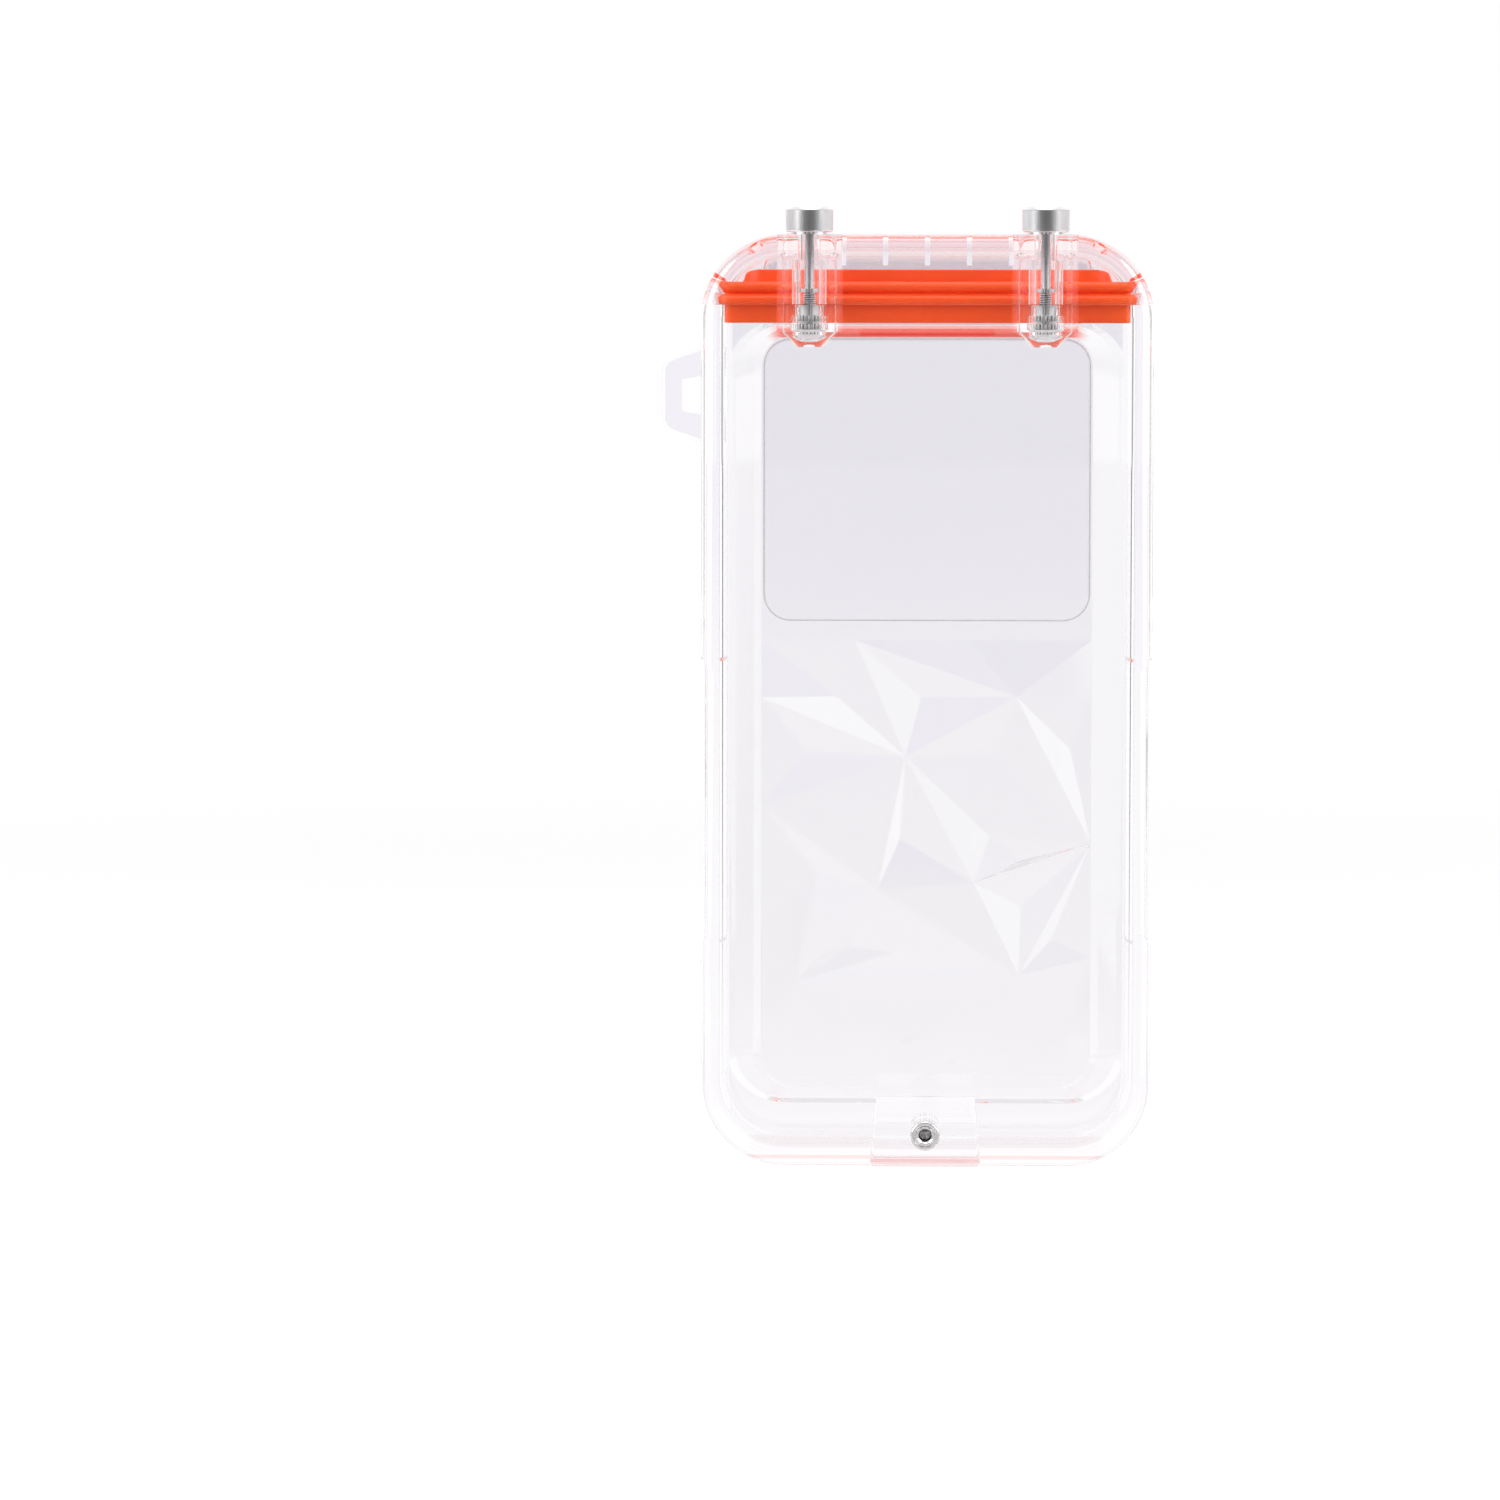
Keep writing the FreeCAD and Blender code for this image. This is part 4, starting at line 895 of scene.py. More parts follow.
@dataclass
class ClearHousing:
    """The clear shell with its bonded camera pane."""

    pane_gap: float = 0.06 * MM
    pane_bevel: float = 0.5 * MM
    pane_play: float = 0.12 * MM
    pane_corner: float = 6.3 * MM
    bevel_knee: float = 0.3

    def dress_shell(self, frame: dict, finishes: Finishes) -> bpy.types.Object:
        """Give the shell its clear finish.

        Args:
            frame: The loaded frame.
            finishes: The finishes of the case.

        Returns:
            The shell.
        """
        shell = frame["nodes"]["case_shell"]
        dress(shell, finishes.clear)
        return shell

    def build_pane(self, finishes: Finishes) -> bpy.types.Object:
        """Build the pane as rounded rectangles stacked from its front face to its rear one.

        The rings shrink by the bevel at both faces, and both faces are closed. The edge counts as hollow
        and takes the painted shade of the dark rim.

        Args:
            finishes: The finishes of the case.

        Returns:
            The pane.
        """
        low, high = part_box("camera_window")
        half_x = (high.x - low.x) / 2 - self.pane_play
        half_z = (high.z - low.z) / 2 - self.pane_play
        front, rear, bevel = low.y + self.pane_gap, high.y, self.pane_bevel
        knee = bevel * self.bevel_knee
        rows = ((bevel, front, 0.0), (knee, front + knee, 1.0), (0.0, front + bevel, 1.0),
                (0.0, rear - bevel, 1.0), (knee, rear - knee, 1.0), (bevel, rear, 0.0))
        rings = plan_rings(np.array([
            (half_x - shrink, half_z - shrink, self.pane_corner - shrink, depth) for shrink, depth, _ in rows
        ]), corner_steps=12, run_steps=2)
        middle = np.array(((low.x + high.x) / 2, 0.0, (low.z + high.z) / 2))
        points = np.stack((rings[..., 0], rings[..., 2], rings[..., 1]), axis=-1) + middle
        maker = MeshMaker()
        maker.add_turned(points, np.array([shaded_rim for *_, shaded_rim in rows])[:, None])
        pane = maker.finish("camera_pane", sharp_degrees=15.0)
        dress(pane, finishes.pane)
        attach(pane, "shell")
        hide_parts("camera_window")
        return pane


@dataclass
class ClosureLid:
    """The clear lid with its orange seal."""

    air: float = 0.04 * MM
    lip_tip: float = 0.9 * MM
    lip_height: float = 2.4 * MM
    groove: float = 0.4 * MM
    web: float = 1.0 * MM
    upper_height: float = 2.8 * MM
    sleeve_wall: float = 2.4 * MM
    sleeve_inset: float = 2.2 * MM
    upper_lip_inset: float = 1.2 * MM
    hole_half: tuple[float, float] = (40.04 * MM, 4.64 * MM)
    upper_wall: float = 1.92 * MM

    def dress_lid(self, frame: dict, finishes: Finishes) -> bpy.types.Object:
        """Give the lid its clear finish.

        Args:
            frame: The loaded frame.
            finishes: The finishes of the case.

        Returns:
            The lid.
        """
        lid = frame["nodes"]["lid"]
        dress(lid, finishes.closure)
        return lid

    def seal_rows(self, low: Vector, high: Vector) -> np.ndarray:
        """Work out the seal's section.

        The section is a closed round of corners: the hollow lower sleeve, the two wedge-shaped lips and the
        upper sleeve. Each corner is (half width and half depth, corner radius in millimetres, height,
        rounding in millimetres).

        Args:
            low: Lower corner of the seal's box.
            high: Upper corner of it.

        Returns:
            Rows of (half width, half depth, corner radius, height).
        """
        rim = high.z - self.upper_height - 2 * self.lip_height - self.groove
        lip_top = rim + self.lip_height
        upper_low = lip_top + self.groove
        top = high.z - self.upper_height
        thin = (self.lip_height - self.lip_tip) / 2
        web_low = rim - self.web
        lower = (high.x, high.y)
        upper = self.shrunk(lower, self.upper_lip_inset)
        sleeve = self.shrunk(lower, self.sleeve_inset + self.air)
        hollow = self.shrunk(sleeve, self.sleeve_wall)
        rise = self.shrunk(self.hole_half, -self.upper_wall)
        section = (
            (self.hole_half, 3.0, web_low, 0.0), (hollow, 1.3, web_low, 0.25), (hollow, 1.3, low.z, 0.3),
            (sleeve, 2.0, low.z, 0.5), (sleeve, 2.0, rim + self.air, 0.15),
            (self.shrunk(lower, 0.5 * MM), 3.7, rim + self.air, 0.2), (lower, 4.2, rim + thin * 0.8, 0.3),
            (lower, 4.2, lip_top - thin, 0.45), (self.shrunk(lower, 1.4 * MM), 2.8, lip_top, 0.3),
            (sleeve, 2.0, lip_top, 0.15), (sleeve, 2.0, upper_low, 0.15),
            (self.shrunk(upper, 0.7 * MM), 2.4, upper_low, 0.2), (upper, 3.0, upper_low + thin, 0.4),
            (upper, 3.0, top - thin, 0.4), (self.shrunk(upper, 0.8 * MM), 2.2, top, 0.3),
            (rise, 5.0, top, 0.25), (rise, 5.0, high.z, 0.45), (self.hole_half, 3.0, high.z, 0.3),
        )
        return self.round_section(section)

    @staticmethod
    def shrunk(half: tuple[float, float], amount: float) -> tuple[float, float]:
        """Make a plan's half width and half depth smaller by an amount."""
        return half[0] - amount, half[1] - amount

    @staticmethod
    def round_section(section: tuple, steps: int = 4, share_of_side: float = 0.45) -> np.ndarray:
        """Round each corner of the closed section, in all four of its numbers.

        The curve starts and ends at the corner's rounding, or nearer where a side is too short for it.

        Args:
            section: Corners as the section's rows give them.
            steps: Steps in each rounded corner.
            share_of_side: How much of a side a rounding may take.

        Returns:
            Rows of (half width, half depth, corner radius, height).
        """
        corners = np.array([(*half, radius * MM, height) for half, radius, height, _ in section])
        rounding = np.array([size * MM for *_, size in section])
        rows = []
        for number, corner in enumerate(corners):
            before = corners[number - 1] - corner
            after = corners[(number + 1) % len(corners)] - corner
            length_before = np.linalg.norm(before[[0, 3]])
            length_after = np.linalg.norm(after[[0, 3]])
            size = min(rounding[number], share_of_side * length_before, share_of_side * length_after)
            if size <= 0:
                rows.append(corner[None, :])
                continue
            start, end = corner + before * size / length_before, corner + after * size / length_after
            rows.append(corner_curve(start, corner, end, steps))
        return np.concatenate(rows)

    def build_seal(self, finishes: Finishes) -> bpy.types.Object:
        """Build the seal by carrying its section round the plan.

        Args:
            finishes: The finishes of the case.

        Returns:
            The seal.
        """
        low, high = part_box("lid_seal")
        rings = plan_rings(self.seal_rows(low, high), corner_steps=10, run_steps=40)
        maker = MeshMaker()
        maker.join_rows(maker.add_points(rings), close_rows=True)
        seal = maker.finish("silicone_seal", sharp_degrees=50.0)
        dress(seal, finishes.silicone)
        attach(seal, "lid")
        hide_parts("lid_seal")
        return seal


@dataclass
class ThumbScrew:
    """One thumb screw with its washer and retaining ring."""

    side: Side
    head_height: float = 5.7 * MM
    head_radius: float = 5.4 * MM
    chamfer: float = 0.7 * MM
    dimple: float = 0.35 * MM
    dimple_radius: float = 1.6 * MM
    waist_radius: float = 1.15 * MM
    thread_radius: float = 1.5 * MM
    thread_length: float = 8.0 * MM
    thread_depth: float = 0.28 * MM
    thread_start: float = 0.8 * MM
    thread_end: float = 0.3 * MM
    pitch: float = 0.5 * MM
    rows_per_turn: int = 8
    tooth_count: int = 42
    tooth_depth: float = 0.34 * MM
    tooth_rows: int = 7
    steps_per_tooth: int = 4
    edge_share: float = 0.6

    @property
    def node(self) -> str:
        """Name of the CAD node that the screw takes the place of."""
        return self.side.label + "_thumb_screw"

    def levels(self) -> tuple[float, ...]:
        """Read the heights that bound the screw's parts from its CAD box.

        Returns:
            Heights of the tip, the thread's top, the head's seat, the knurl's foot and top, the head's top.
        """
        low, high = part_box(self.node)
        seat = high.z - self.head_height
        knurl = (seat + self.chamfer / 2, high.z - self.chamfer)
        return (low.z, low.z + self.thread_length, seat, *knurl, high.z)

    def profile(self) -> np.ndarray:
        """Work out the profile: a chamfered thread, a waist and a head with chamfers and a dimple.

        Returns:
            Rows of (radius, height).
        """
        tip, thread_top, seat, knurl_low, knurl_high, top = self.levels()
        shank, waist, head, chamfer = self.thread_radius, self.waist_radius, self.head_radius, self.chamfer
        thread_rows = int(self.thread_length / self.pitch * self.rows_per_turn)
        knurl_rows = self.tooth_rows * self.steps_per_tooth + 1
        return np.concatenate((
            np.array([(shank - 0.5 * MM, tip), (shank - 0.3 * MM, tip + 0.06 * MM)]),
            straight_run(shank, np.linspace(tip + 0.2 * MM, thread_top, thread_rows)),
            rounded_profile([
                (shank - self.thread_depth, thread_top + 0.05 * MM, 0.0),
                (waist, thread_top + 0.15 * MM, 0.1 * MM), (waist, seat, 0.12 * MM),
                (head - chamfer * 0.6, seat, 0.15 * MM), (head - 0.02 * MM, seat + chamfer * 0.45, 0.0)], 3),
            straight_run(head, np.linspace(knurl_low, knurl_high, knurl_rows)),
            rounded_profile([
                (head - 0.05 * MM, top - chamfer * 0.9, 0.0), (head - chamfer, top, 0.2 * MM),
                (self.dimple_radius, top, 0.2 * MM),
                (self.dimple_radius - 0.3 * MM, top - self.dimple, 0.15 * MM),
                (0.2 * MM, top - self.dimple, 0.0)], 4)))

    def cuts(self, profile: np.ndarray, turns: np.ndarray) -> tuple[np.ndarray, np.ndarray]:
        """Work out how deep the thread and the diamond knurl cut.

        The thread's cut is the depth times a triangle wave of height over pitch less angle over a full turn.
        The knurl's cut is the depth times the greater of two triangle waves, of tooth count times angle plus
        and minus height over the row pitch.

        Args:
            profile: Rows of (radius, height).
            turns: Angle of each column, in full turns.

        Returns:
            The cut and how hollow each point is, both with the shape (rows, columns).
        """
        tip, thread_top, seat, knurl_low, knurl_high, _ = self.levels()
        radius, height = profile[:, :1], profile[:, 1:2]
        on_thread = height <= thread_top
        in_thread = on_thread * smooth_step(height, tip, tip + self.thread_start) * (
            1 - smooth_step(height, thread_top - self.thread_end, thread_top))
        wave = triangle_wave((height - tip) / self.pitch - turns)
        thread = np.where(on_thread, self.thread_depth * (1.0 - in_thread * wave), 0.0)
        thread[:2] = 0.0
        rising = (height - knurl_low) / (knurl_high - knurl_low) * self.tooth_rows
        around = turns * self.tooth_count
        knurl = self.tooth_depth * np.maximum(triangle_wave(around + rising), triangle_wave(around - rising))
        on_knurl = ((height >= knurl_low - SLACK) & (height <= knurl_high + SLACK)
                    & (radius > self.head_radius - SLACK))
        knurl = np.where(on_knurl, knurl, 0.0)
        on_edge = (height > seat) & (radius > self.head_radius - 0.06 * MM) & ~on_knurl
        edge = np.where(on_edge, self.tooth_depth * self.edge_share, 0.0)
        hollow = np.maximum(knurl / self.tooth_depth, thread / self.thread_depth * (in_thread > 0.5))
        return thread + knurl + edge, hollow

    def build(self, finishes: Finishes) -> bpy.types.Object:
        """Build the screw.

        Args:
            finishes: The finishes of the case.

        Returns:
            The screw.
        """
        lathe = Lathe(upright_axis(self.node), self.tooth_count * self.steps_per_tooth)
        profile = self.profile()
        screw = lathe.turn(self.side.label + "_knurled_screw", profile, *self.cuts(profile, lathe.turns))
        dress(screw, finishes.steel)
        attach(screw, self.side.label + "_screw")
        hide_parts(self.node)
        return screw

    def dress_rings(self, frame: dict, finishes: Finishes) -> list[bpy.types.Object]:
        """Give the washer and the retaining ring their steel finish.

        Args:
            frame: The loaded frame.
            finishes: The finishes of the case.

        Returns:
            The washer and the ring.
        """
        rings = [frame["nodes"][self.side.label + name] for name in ("_washer", "_retaining_ring")]
        for ring in rings:
            dress(ring, finishes.steel)
        return rings


@dataclass
class ThreadedInsert:
    """One metal insert moulded into a screw boss."""

    side: Side
    grow: float = 0.03 * MM
    barrel_radius: float = 2.65 * MM
    barrel_length: float = 3.2 * MM
    neck_radius: float = 2.2 * MM
    dome: float = 1.1 * MM
    band_depth: float = 0.1 * MM
    hole_radius: float = 1.6 * MM
    hole_depth: float = 5.7 * MM
    hole_chamfer: float = 0.25 * MM
    tooth_count: int = 24
    tooth_depth: float = 0.22 * MM
    pitch: float = 0.5 * MM
    thread_depth: float = 0.18 * MM
    steps: int = 6

    def outer_profile(self, bottom: float, top: float) -> np.ndarray:
        """Work out the outside: a dome, a barrel with a plain band round its middle, and a neck.

        Args:
            bottom: Height of the dome's foot.
            top: Height of the neck's top.

        Returns:
            Rows of (radius, height).
        """
        barrel, neck = self.barrel_radius + self.grow, self.neck_radius + self.grow
        shoulder = bottom + self.dome + self.barrel_length + 2 * self.grow
        middle = (bottom + self.dome + shoulder) / 2
        band = neck + self.band_depth
        return rounded_profile([
            (0.15 * MM, bottom, 0.0), (barrel * 0.5, bottom, 0.4 * MM),
            (barrel, bottom + self.dome, 0.3 * MM), (barrel, middle - 0.3 * MM, 0.12 * MM),
            (band, middle - 0.15 * MM, 0.08 * MM), (band, middle + 0.15 * MM, 0.08 * MM),
            (barrel, middle + 0.3 * MM, 0.12 * MM),
            (barrel, shoulder, 0.15 * MM), (neck, shoulder, 0.1 * MM), (neck, top, 0.0)], 4)

    def hole_profile(self, top: float) -> np.ndarray:
        """Work out the blind hole, from its chamfer down to its floor.

        Args:
            top: Height of the neck's top.

        Returns:
            Rows of (radius, height).
        """
        hole, chamfer, floor = self.hole_radius, self.hole_chamfer, top - self.hole_depth
        return np.concatenate((
            np.array([(hole + chamfer, top), (hole, top - chamfer)]),
            straight_run(hole, np.arange(top - 0.3 * MM, floor + 0.2 * MM, -self.pitch / self.steps)),
            np.array([(hole, floor), (0.2 * MM, floor - 0.3 * MM)])))

    def build(self, finishes: Finishes) -> bpy.types.Object:
        """Build the insert with straight teeth on its barrel and a thread in its hole.

        The teeth's cut is the depth times a triangle wave of tooth count times angle, squared. The thread's
        cut goes outwards, by its depth times a triangle wave of height over pitch less angle over a turn.

        Args:
            finishes: The finishes of the case.

        Returns:
            The insert.
        """
        node = self.side.label + "_threaded_insert"
        low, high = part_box(node)
        bottom, top = low.z - self.grow, high.z - self.grow
        outer = self.outer_profile(bottom, top)
        profile = np.concatenate((outer, self.hole_profile(top)))
        radius, height = profile[:, :1], profile[:, 1:2]
        lathe = Lathe(upright_axis(node), self.tooth_count * self.steps)
        outside = (np.arange(len(profile)) < len(outer))[:, None]
        toothed = outside & (radius > self.barrel_radius + self.grow - 0.02 * MM)
        teeth = np.where(toothed, triangle_wave(lathe.turns * self.tooth_count) ** 2, 0.0)
        threaded = ~outside & (np.abs(radius - self.hole_radius) < SLACK)
        groove = np.where(threaded, triangle_wave((height - bottom) / self.pitch - lathe.turns), 0.0)
        insert = lathe.turn(
            self.side.label + "_moulded_insert", profile,
            self.tooth_depth * teeth - self.thread_depth * groove, np.maximum(teeth, groove))
        dress(insert, finishes.plated)
        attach(insert, "shell")
        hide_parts(node)
        return insert


@dataclass
class DockSocket:
    """The metal insert in the block at the foot of the front."""

    grow: float = 0.03 * MM
    rim_width: float = 0.8 * MM
    land_width: float = 0.6 * MM
    groove_depth: float = 0.4 * MM
    band_depth: float = 0.35 * MM
    band_span: tuple[float, float] = (0.36, 0.56)
    hole_radius: float = 1.5 * MM
    hole_depth: float = 5.5 * MM
    chamfer: float = 0.3 * MM
    tooth_count: int = 30
    tooth_depth: float = 0.2 * MM
    tooth_reach: float = 0.9
    pitch: float = 0.5 * MM
    thread_depth: float = 0.15 * MM
    steps: int = 6

    def outer_profile(self, radius: float, length: float) -> np.ndarray:
        """Work out the outside: a barrel with a plain band, and a front face with a ring groove.

        Args:
            radius: Radius of the barrel.
            length: Length from the rear to the front face.

        Returns:
            Rows of (radius, height along the axis).
        """
        hole, land, rim = self.hole_radius, self.hole_radius + self.land_width, radius - self.rim_width
        deep, band, edge = length - self.groove_depth, radius - self.band_depth, 0.1 * MM
        band_start, band_end = (length * share for share in self.band_span)
        return rounded_profile([
            (0.2 * MM, -self.grow, 0.0), (radius, -self.grow, 0.3 * MM), (radius, band_start, edge),
            (band, band_start + 0.15 * MM, edge), (band, band_end, edge),
            (radius, band_end + 0.15 * MM, edge), (radius, length - self.chamfer, edge),
            (radius - self.chamfer, length, edge), (rim, length, edge),
            (rim, deep, edge), (land, deep, edge), (land, length, edge),
            (hole + self.chamfer, length, 0.08 * MM), (hole, length - self.chamfer, 0.0)], 3)

    def hole_profile(self, length: float) -> np.ndarray:
        """Work out the blind hole, from below its chamfer to its floor.

        Args:
            length: Length from the rear to the front face.

        Returns:
            Rows of (radius, height along the axis).
        """
        hole, floor = self.hole_radius, length - self.hole_depth
        thread = np.arange(length - self.chamfer - 0.1 * MM, floor + 0.3 * MM, -self.pitch / self.steps)
        ends = np.array([(hole - 0.1 * MM, floor), (0.2 * MM, floor - 0.4 * MM)])
        return np.concatenate((straight_run(hole, thread), ends))

    def build(self, finishes: Finishes) -> bpy.types.Object:
        """Build the insert, turned about an axis that points forward.

        Its teeth and its thread are cut by the same triangle waves as those of the bosses' inserts.

        Args:
            finishes: The finishes of the case.

        Returns:
            The insert.
        """
        low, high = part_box("dock_insert")
        full, length = (high.x - low.x) / 2 + self.grow, high.y - low.y
        outer, inner = self.outer_profile(full, length), self.hole_profile(length)
        profile = np.concatenate((outer, inner))
        radius, height = profile[:, :1], profile[:, 1:2]
        back = Vector(((low.x + high.x) / 2, high.y, (low.z + high.z) / 2))
        lathe = Lathe(back, self.tooth_count * self.steps, forward=True)
        row = np.arange(len(profile))[:, None]
        toothed = (row < len(outer)) & (radius > full - 0.01 * MM) & (height < length * self.tooth_reach)
        teeth = np.where(toothed, triangle_wave(lathe.turns * self.tooth_count) ** 2, 0.0)
        threaded = (row >= len(outer)) & (row < len(profile) - 2)
        groove = np.where(threaded, triangle_wave(height / self.pitch - lathe.turns), 0.0)
        insert = lathe.turn(
            "dock_socket", profile, self.tooth_depth * teeth + self.thread_depth * groove,
            np.maximum(teeth, groove))
        dress(insert, finishes.plated)
        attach(insert, "shell")
        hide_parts("dock_insert")
        return insert


# Studio
@dataclass(frozen=True)
class Lamp:
    """A round soft lamp, with its diameter and its power in watts."""

    name: str
    place: tuple[float, float, float]
    size: float
    power: float

    def build(self, aim: tuple[float, float, float]) -> None:
        """Hang the lamp, unseen by the camera and through the clear walls.

        Args:
            aim: The point that it shines at.
        """
        data = bpy.data.lights.new(self.name, "AREA")
        data.shape = "DISK"
        data.size = self.size
        data.energy = self.power
        lamp = bpy.data.objects.new(self.name, data)
        bpy.context.scene.collection.objects.link(lamp)
        turn = (Vector(aim) - Vector(self.place)).to_track_quat("-Z", "Y").to_matrix().to_4x4()
        lamp.matrix_world = Matrix.Translation(self.place) @ turn
        lamp.visible_camera = False
        lamp.visible_transmission = False


@dataclass
class Studio:
    """White floor, soft lamps, the surroundings and the camera at the photo's angle.

    Attributes:
        fill: Light that the floor adds for the camera near the case and far from it.
        fill_span: Distances from the case between which that light grows.
        walls: Tone of the surroundings round the upright axis, from behind the camera to the backdrop.
        grey_right: Directions to the right, as x over y, between which the backdrop turns white.
        grey_left: The same to the left.
        grey_top: The same upwards, as z.
        grey_half: Half the grey card's width, for rays that meet the floor.
        near_span: Distances behind the case between which the floor takes on the near tone.
        front_dark: Tone of the floor before the case, for mirrored rays and for rays through the walls.
        front_span: Places along the floor between which it comes up to full.
        rear_span: Places behind the case between which the floor loses its last dimness.
        rear_dim: Tone at the nearer of them.
        ceiling_span: Directions upwards between which the walls turn to the ceiling.
    """

    floor_radius: float = 6.0
    floor_drop: float = 0.2 * MM
    floor_colour: tuple[float, float, float] = (0.62, 0.62, 0.62)
    fill: tuple[float, float] = (0.15, 0.72)
    fill_span: tuple[float, float] = (0.1, 2.2)
    walls: tuple[tuple[float, float], ...] = (
        (0.0, 0.025), (0.03, 0.03), (0.042, 0.7), (0.085, 0.7), (0.10, 0.04), (0.135, 0.04), (0.19, 0.8),
        (0.40, 0.85), (0.47, 0.34), (0.56, 0.34), (0.64, 1.0), (1.0, 1.0))
    grey_tone: tuple[float, float, float] = (1.0, 0.98, 1.03)
    near_tone: tuple[float, float, float] = (1.06, 1.045, 1.055)
    white_tone: tuple[float, float, float] = (1.12, 1.11, 1.11)
    grey_right: tuple[float, float] = (0.036, 0.048)
    grey_half: float = 0.06
    grey_left: tuple[float, float] = (0.060, 0.090)
    grey_top: tuple[float, float] = (0.006, 0.028)
    near_span: tuple[float, float] = (4.5, 0.0)
    front_dark: tuple[float, float] = (0.12, 0.18)
    front_span: tuple[float, float] = (-0.35, 0.02)
    rear_span: tuple[float, float] = (0.10, 0.30)
    rear_dim: float = 0.95
    ceiling: float = 1.0
    ceiling_span: tuple[float, float] = (0.45, 0.8)
    ambient: float = 0.6
    lamps: tuple[Lamp, ...] = (
        Lamp("left_softbox", (-0.9, -0.5, 0.6), 0.8, 9.0), Lamp("right_softbox", (0.9, -0.4, 0.6), 0.8, 9.0),
        Lamp("top_softbox", (0.0, 0.1, 1.3), 1.0, 8.5))
    lamp_aim: tuple[float, float, float] = (0.0, 0.0, 0.1)
    distance: float = 1.5
    camera_height: float = 0.200
    pixels: float = 1500.0
    pixels_per_metre: float = 4371.0
    aim: tuple[float, float, float] = (-0.0403, 0.0, 0.0944)
    roll_degrees: float = 0.06
    sensor: float = 36.0

    def backdrop_group(self) -> bpy.types.NodeTree:
        """Build the group of the backdrop's tone: a cool grey right behind the case and white round it.

        Returns:
            A group that puts out the tone.
        """
        tree, sketch = new_group("backdrop_tone", {"Sideways": 0.0, "Raise": 0.0, "Near": 0.0}, ("Tone",),
                                 kind="NodeSocketColor")
        given, result = tree.nodes["Group Input"], tree.nodes["Group Output"]
        right = sketch.eased(given.outputs["Sideways"], *self.grey_right)
        left = sketch.eased(sketch.math("MULTIPLY", given.outputs["Sideways"], -1.0), *self.grey_left)
        above = sketch.eased(given.outputs["Raise"], *self.grey_top)
        share = sketch.math("MAXIMUM", sketch.math("MAXIMUM", right, left), above, clamp=True)
        grey = sketch.blend(given.outputs["Near"], self.grey_tone, self.near_tone)
        sketch.feed(result.inputs["Tone"], sketch.blend(share, grey, self.white_tone))
        return tree

    def build_floor(self, backdrop: bpy.types.NodeTree) -> bpy.types.Object:
        """Build the round floor, white to the camera apart from the case's shadow.

        Args:
            backdrop: The group of the backdrop's tone, which the floor goes on with towards the case.

        Returns:
            The floor.
        """
        angle = np.linspace(0.0, 2 * math.pi, 96, endpoint=False)
        ring = np.stack((self.floor_radius * np.cos(angle), self.floor_radius * np.sin(angle),
                         np.full_like(angle, -self.floor_drop)), axis=1)
        mesh = bpy.data.meshes.new("floor")
        mesh.from_pydata(ring.tolist(), [], [list(range(len(ring)))])
        floor = bpy.data.objects.new("floor", mesh)
        bpy.context.scene.collection.objects.link(floor)
        material, sketch, output = new_material("floor_white")
        path = sketch.add("LightPath")
        place = sketch.add("SeparateXYZ", Vector=sketch.add("TexCoord").outputs["Object"])
        across, along = place.outputs["X"], place.outputs["Y"]
        squares = (sketch.math("POWER", value, 2.0) for value in (across, along))
        away = sketch.math("SQRT", sketch.math("ADD", *squares))
        fill = sketch.eased(away, *self.fill_span, *self.fill)
        beyond = sketch.math("SUBTRACT", sketch.math("ABSOLUTE", across), self.grey_half)
        beyond = sketch.times(sketch.math("MAXIMUM", beyond, 0.0), sketch.math("SIGN", across))
        sideways = sketch.math("DIVIDE", beyond, sketch.math("MAXIMUM", along, 0.05))
        near = sketch.eased(along, *self.near_span)
        mirrored, passed = self.front_dark
        lowest = sketch.add("MapRange", Value=path.outputs["Is Transmission Ray"], To_Min=mirrored,
                            To_Max=passed)
        before = sketch.times(sketch.eased(along, *self.front_span, lowest),
                              sketch.eased(along, *self.rear_span, self.rear_dim, 1.0))
        tone = sketch.add("Group", {"node_tree": backdrop}, Sideways=sideways, Near=near)
        bent = sketch.math("MAXIMUM", path.outputs["Is Glossy Ray"], path.outputs["Is Transmission Ray"])
        paper = sketch.add("BsdfDiffuse", Color=self.floor_colour)
        filled = sketch.add("Emission", Strength=sketch.times(path.outputs["Is Camera Ray"], fill))
        both = sketch.add("AddShader", None, paper, filled)
        shine = sketch.add("Emission", Color=tone, Strength=before)
        sketch.feed(output, sketch.add("MixShader", None, bent, both, shine))
        mesh.materials.append(material)
        return floor

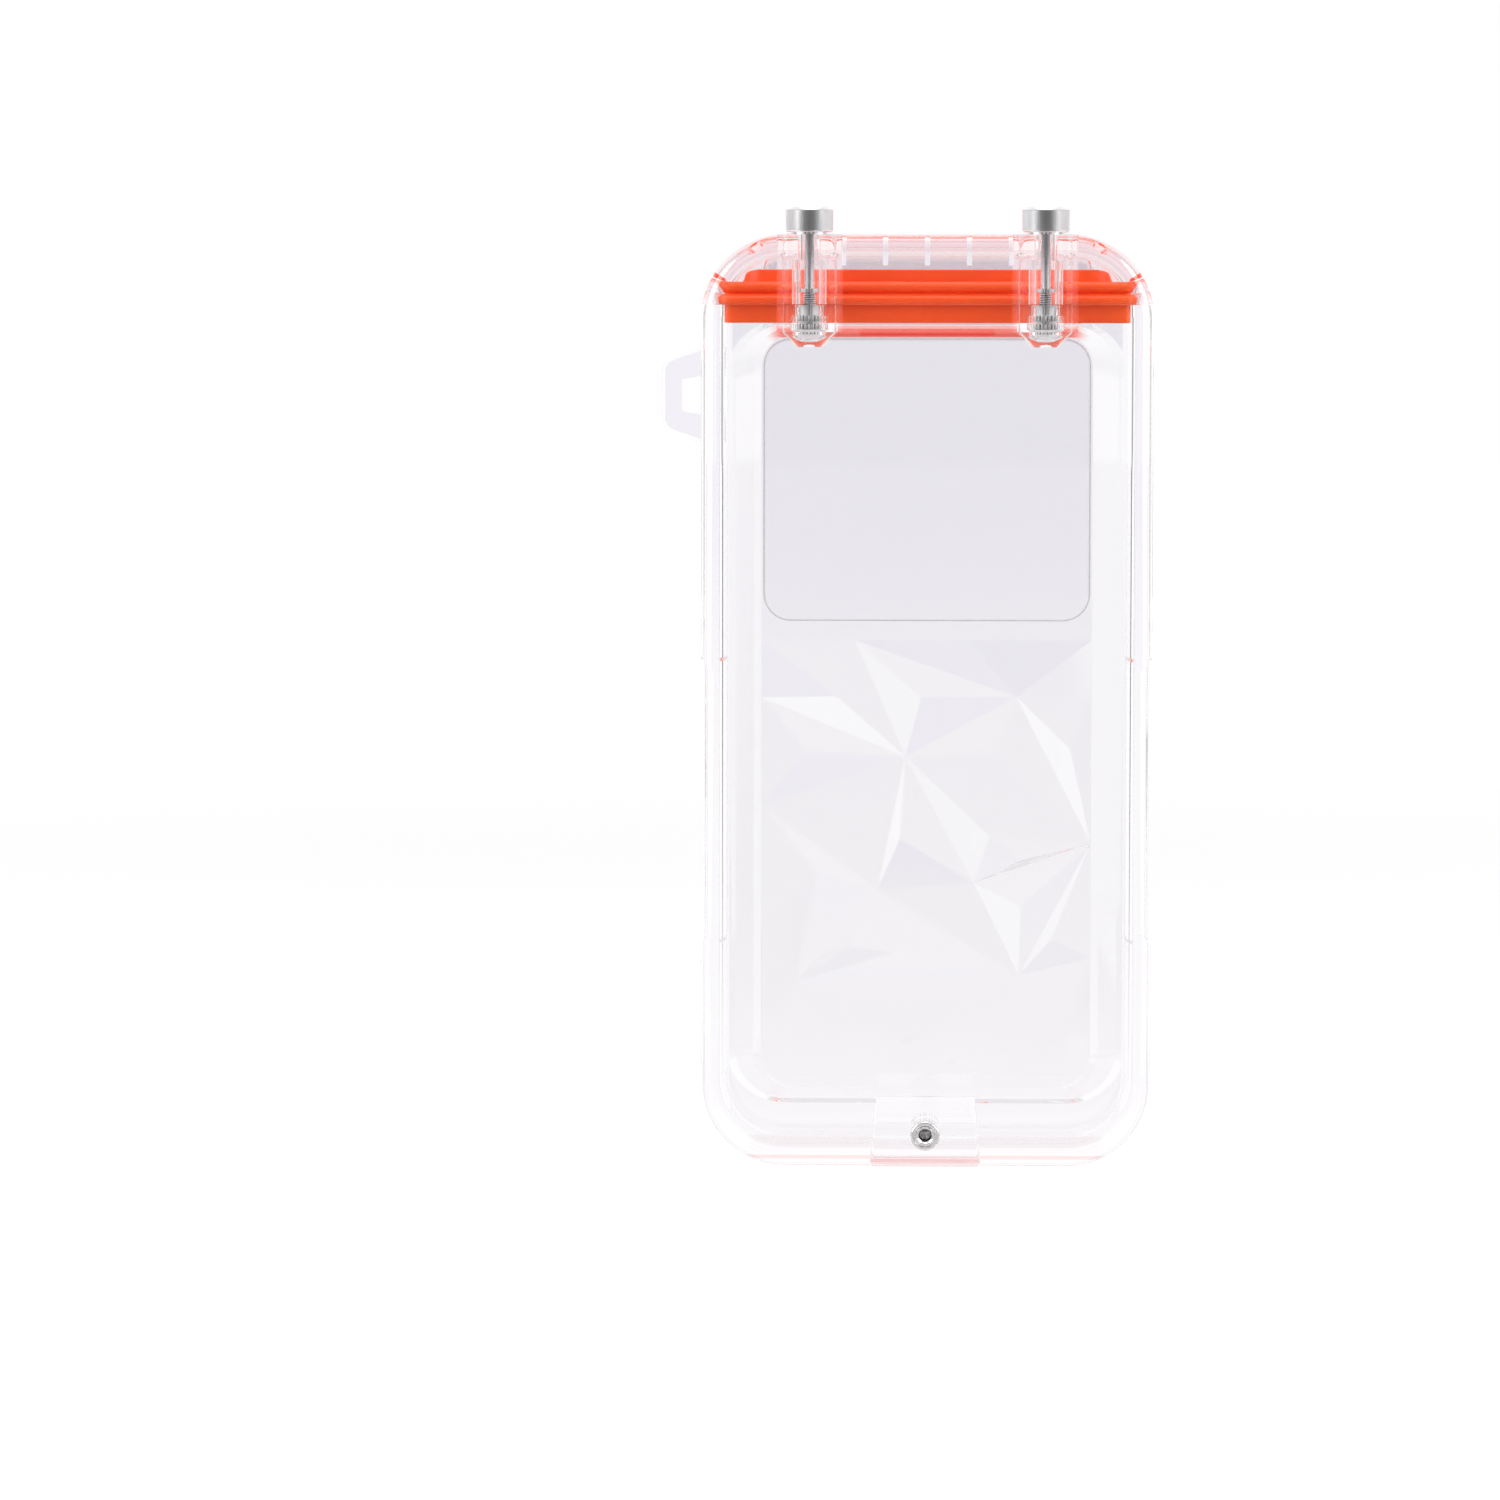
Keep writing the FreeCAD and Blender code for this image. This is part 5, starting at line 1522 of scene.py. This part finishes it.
    def build_world(self, backdrop: bpy.types.NodeTree) -> None:
        """Build the surroundings, white to the camera and a studio to every other ray.

        Round the upright axis the studio is dark behind the camera but for a narrow bright strip, bright at
        the two softboxes, grey between them and the backdrop, and white at the backdrop, with the grey card
        of the backdrop group in its middle. Above the softboxes it turns to the white ceiling.

        Args:
            backdrop: The group of the backdrop's tone.
        """
        world = bpy.data.worlds.new("studio")
        bpy.context.scene.world = world
        world.use_nodes = True
        world.node_tree.nodes.clear()
        sketch = NodeSketch(world.node_tree)
        path = sketch.add("LightPath")
        place = sketch.add("TexCoord")
        parts = sketch.add("SeparateXYZ", Vector=place.outputs["Generated"])
        side = sketch.math("ABSOLUTE", parts.outputs["X"])
        turn = sketch.math("ARCTAN2", side, sketch.math("MULTIPLY", parts.outputs["Y"], -1.0))
        around = sketch.ramp(sketch.math("DIVIDE", turn, math.pi), self.walls)
        ahead = sketch.math("MAXIMUM", parts.outputs["Y"], 0.001)
        sideways = sketch.math("DIVIDE", parts.outputs["X"], ahead)
        tone = sketch.add("Group", {"node_tree": backdrop}, Sideways=sideways, Raise=parts.outputs["Z"])
        walls = sketch.blend(1.0, around, tone, "MULTIPLY")
        raised = sketch.eased(parts.outputs["Z"], *self.ceiling_span)
        studio = sketch.blend(raised, walls, [self.ceiling] * 3)
        lighting = sketch.blend(path.outputs["Is Diffuse Ray"], studio, [self.ambient] * 3)
        colour = sketch.blend(path.outputs["Is Camera Ray"], lighting, (1.0, 1.0, 1.0))
        back = sketch.add("Background", Color=colour, Strength=1.0)
        sketch.add("OutputWorld", None, back)

    def build_lamps(self) -> None:
        """Build the soft lamps: one each side and one above."""
        for lamp in self.lamps:
            lamp.build(self.lamp_aim)

    def build_camera(self) -> None:
        """Place the camera in front of the case and aim it at the point in the middle of the picture."""
        data = bpy.data.cameras.new("camera")
        data.sensor_width = self.sensor
        data.lens = self.pixels_per_metre * self.distance * self.sensor / self.pixels
        camera = bpy.data.objects.new("camera", data)
        bpy.context.scene.collection.objects.link(camera)
        aim = Vector(self.aim)
        height = self.camera_height
        away = math.sqrt(self.distance ** 2 - (height - aim.z) ** 2)
        place = Vector((0.0, -away, height))
        turn = (aim - place).to_track_quat("-Z", "Y").to_matrix().to_4x4()
        roll = Matrix.Rotation(math.radians(self.roll_degrees), 4, "Z")
        camera.matrix_world = Matrix.Translation(place) @ turn @ roll
        bpy.context.scene.camera = camera

    def set_render(self) -> None:
        """Set the plain view transform and enough bounces for the clear walls."""
        scene = bpy.context.scene
        scene.view_settings.view_transform = "Standard"
        cycles = scene.cycles
        cycles.max_bounces = 24
        cycles.transmission_bounces = 20
        cycles.glossy_bounces = 12
        cycles.diffuse_bounces = 4
        cycles.transparent_max_bounces = 24
        cycles.sample_clamp_indirect = 6.0
        cycles.blur_glossy = 0.3


def main() -> None:
    """Build every piece in order and report it."""
    logging.basicConfig(level=logging.INFO, format="%(name)s: %(message)s")
    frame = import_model()
    studio = Studio()
    studio.build_camera()
    backdrop = studio.backdrop_group()
    studio.build_floor(backdrop)
    studio.build_world(backdrop)
    studio.build_lamps()
    studio.set_render()
    finishes = Finishes.build()
    made = []
    housing = ClearHousing()
    made.append(housing.dress_shell(frame, finishes))
    made.append(housing.build_pane(finishes))
    lid = ClosureLid()
    made.append(lid.dress_lid(frame, finishes))
    made.append(lid.build_seal(finishes))
    for side in Side:
        screw = ThumbScrew(side)
        made.append(screw.build(finishes))
        made.extend(screw.dress_rings(frame, finishes))
        made.append(ThreadedInsert(side).build(finishes))
    made.append(DockSocket().build(finishes))
    for piece in made:
        LOG.info("%s: %d faces", piece.name, len(piece.data.polygons))


if __name__ == "__main__":
    main()
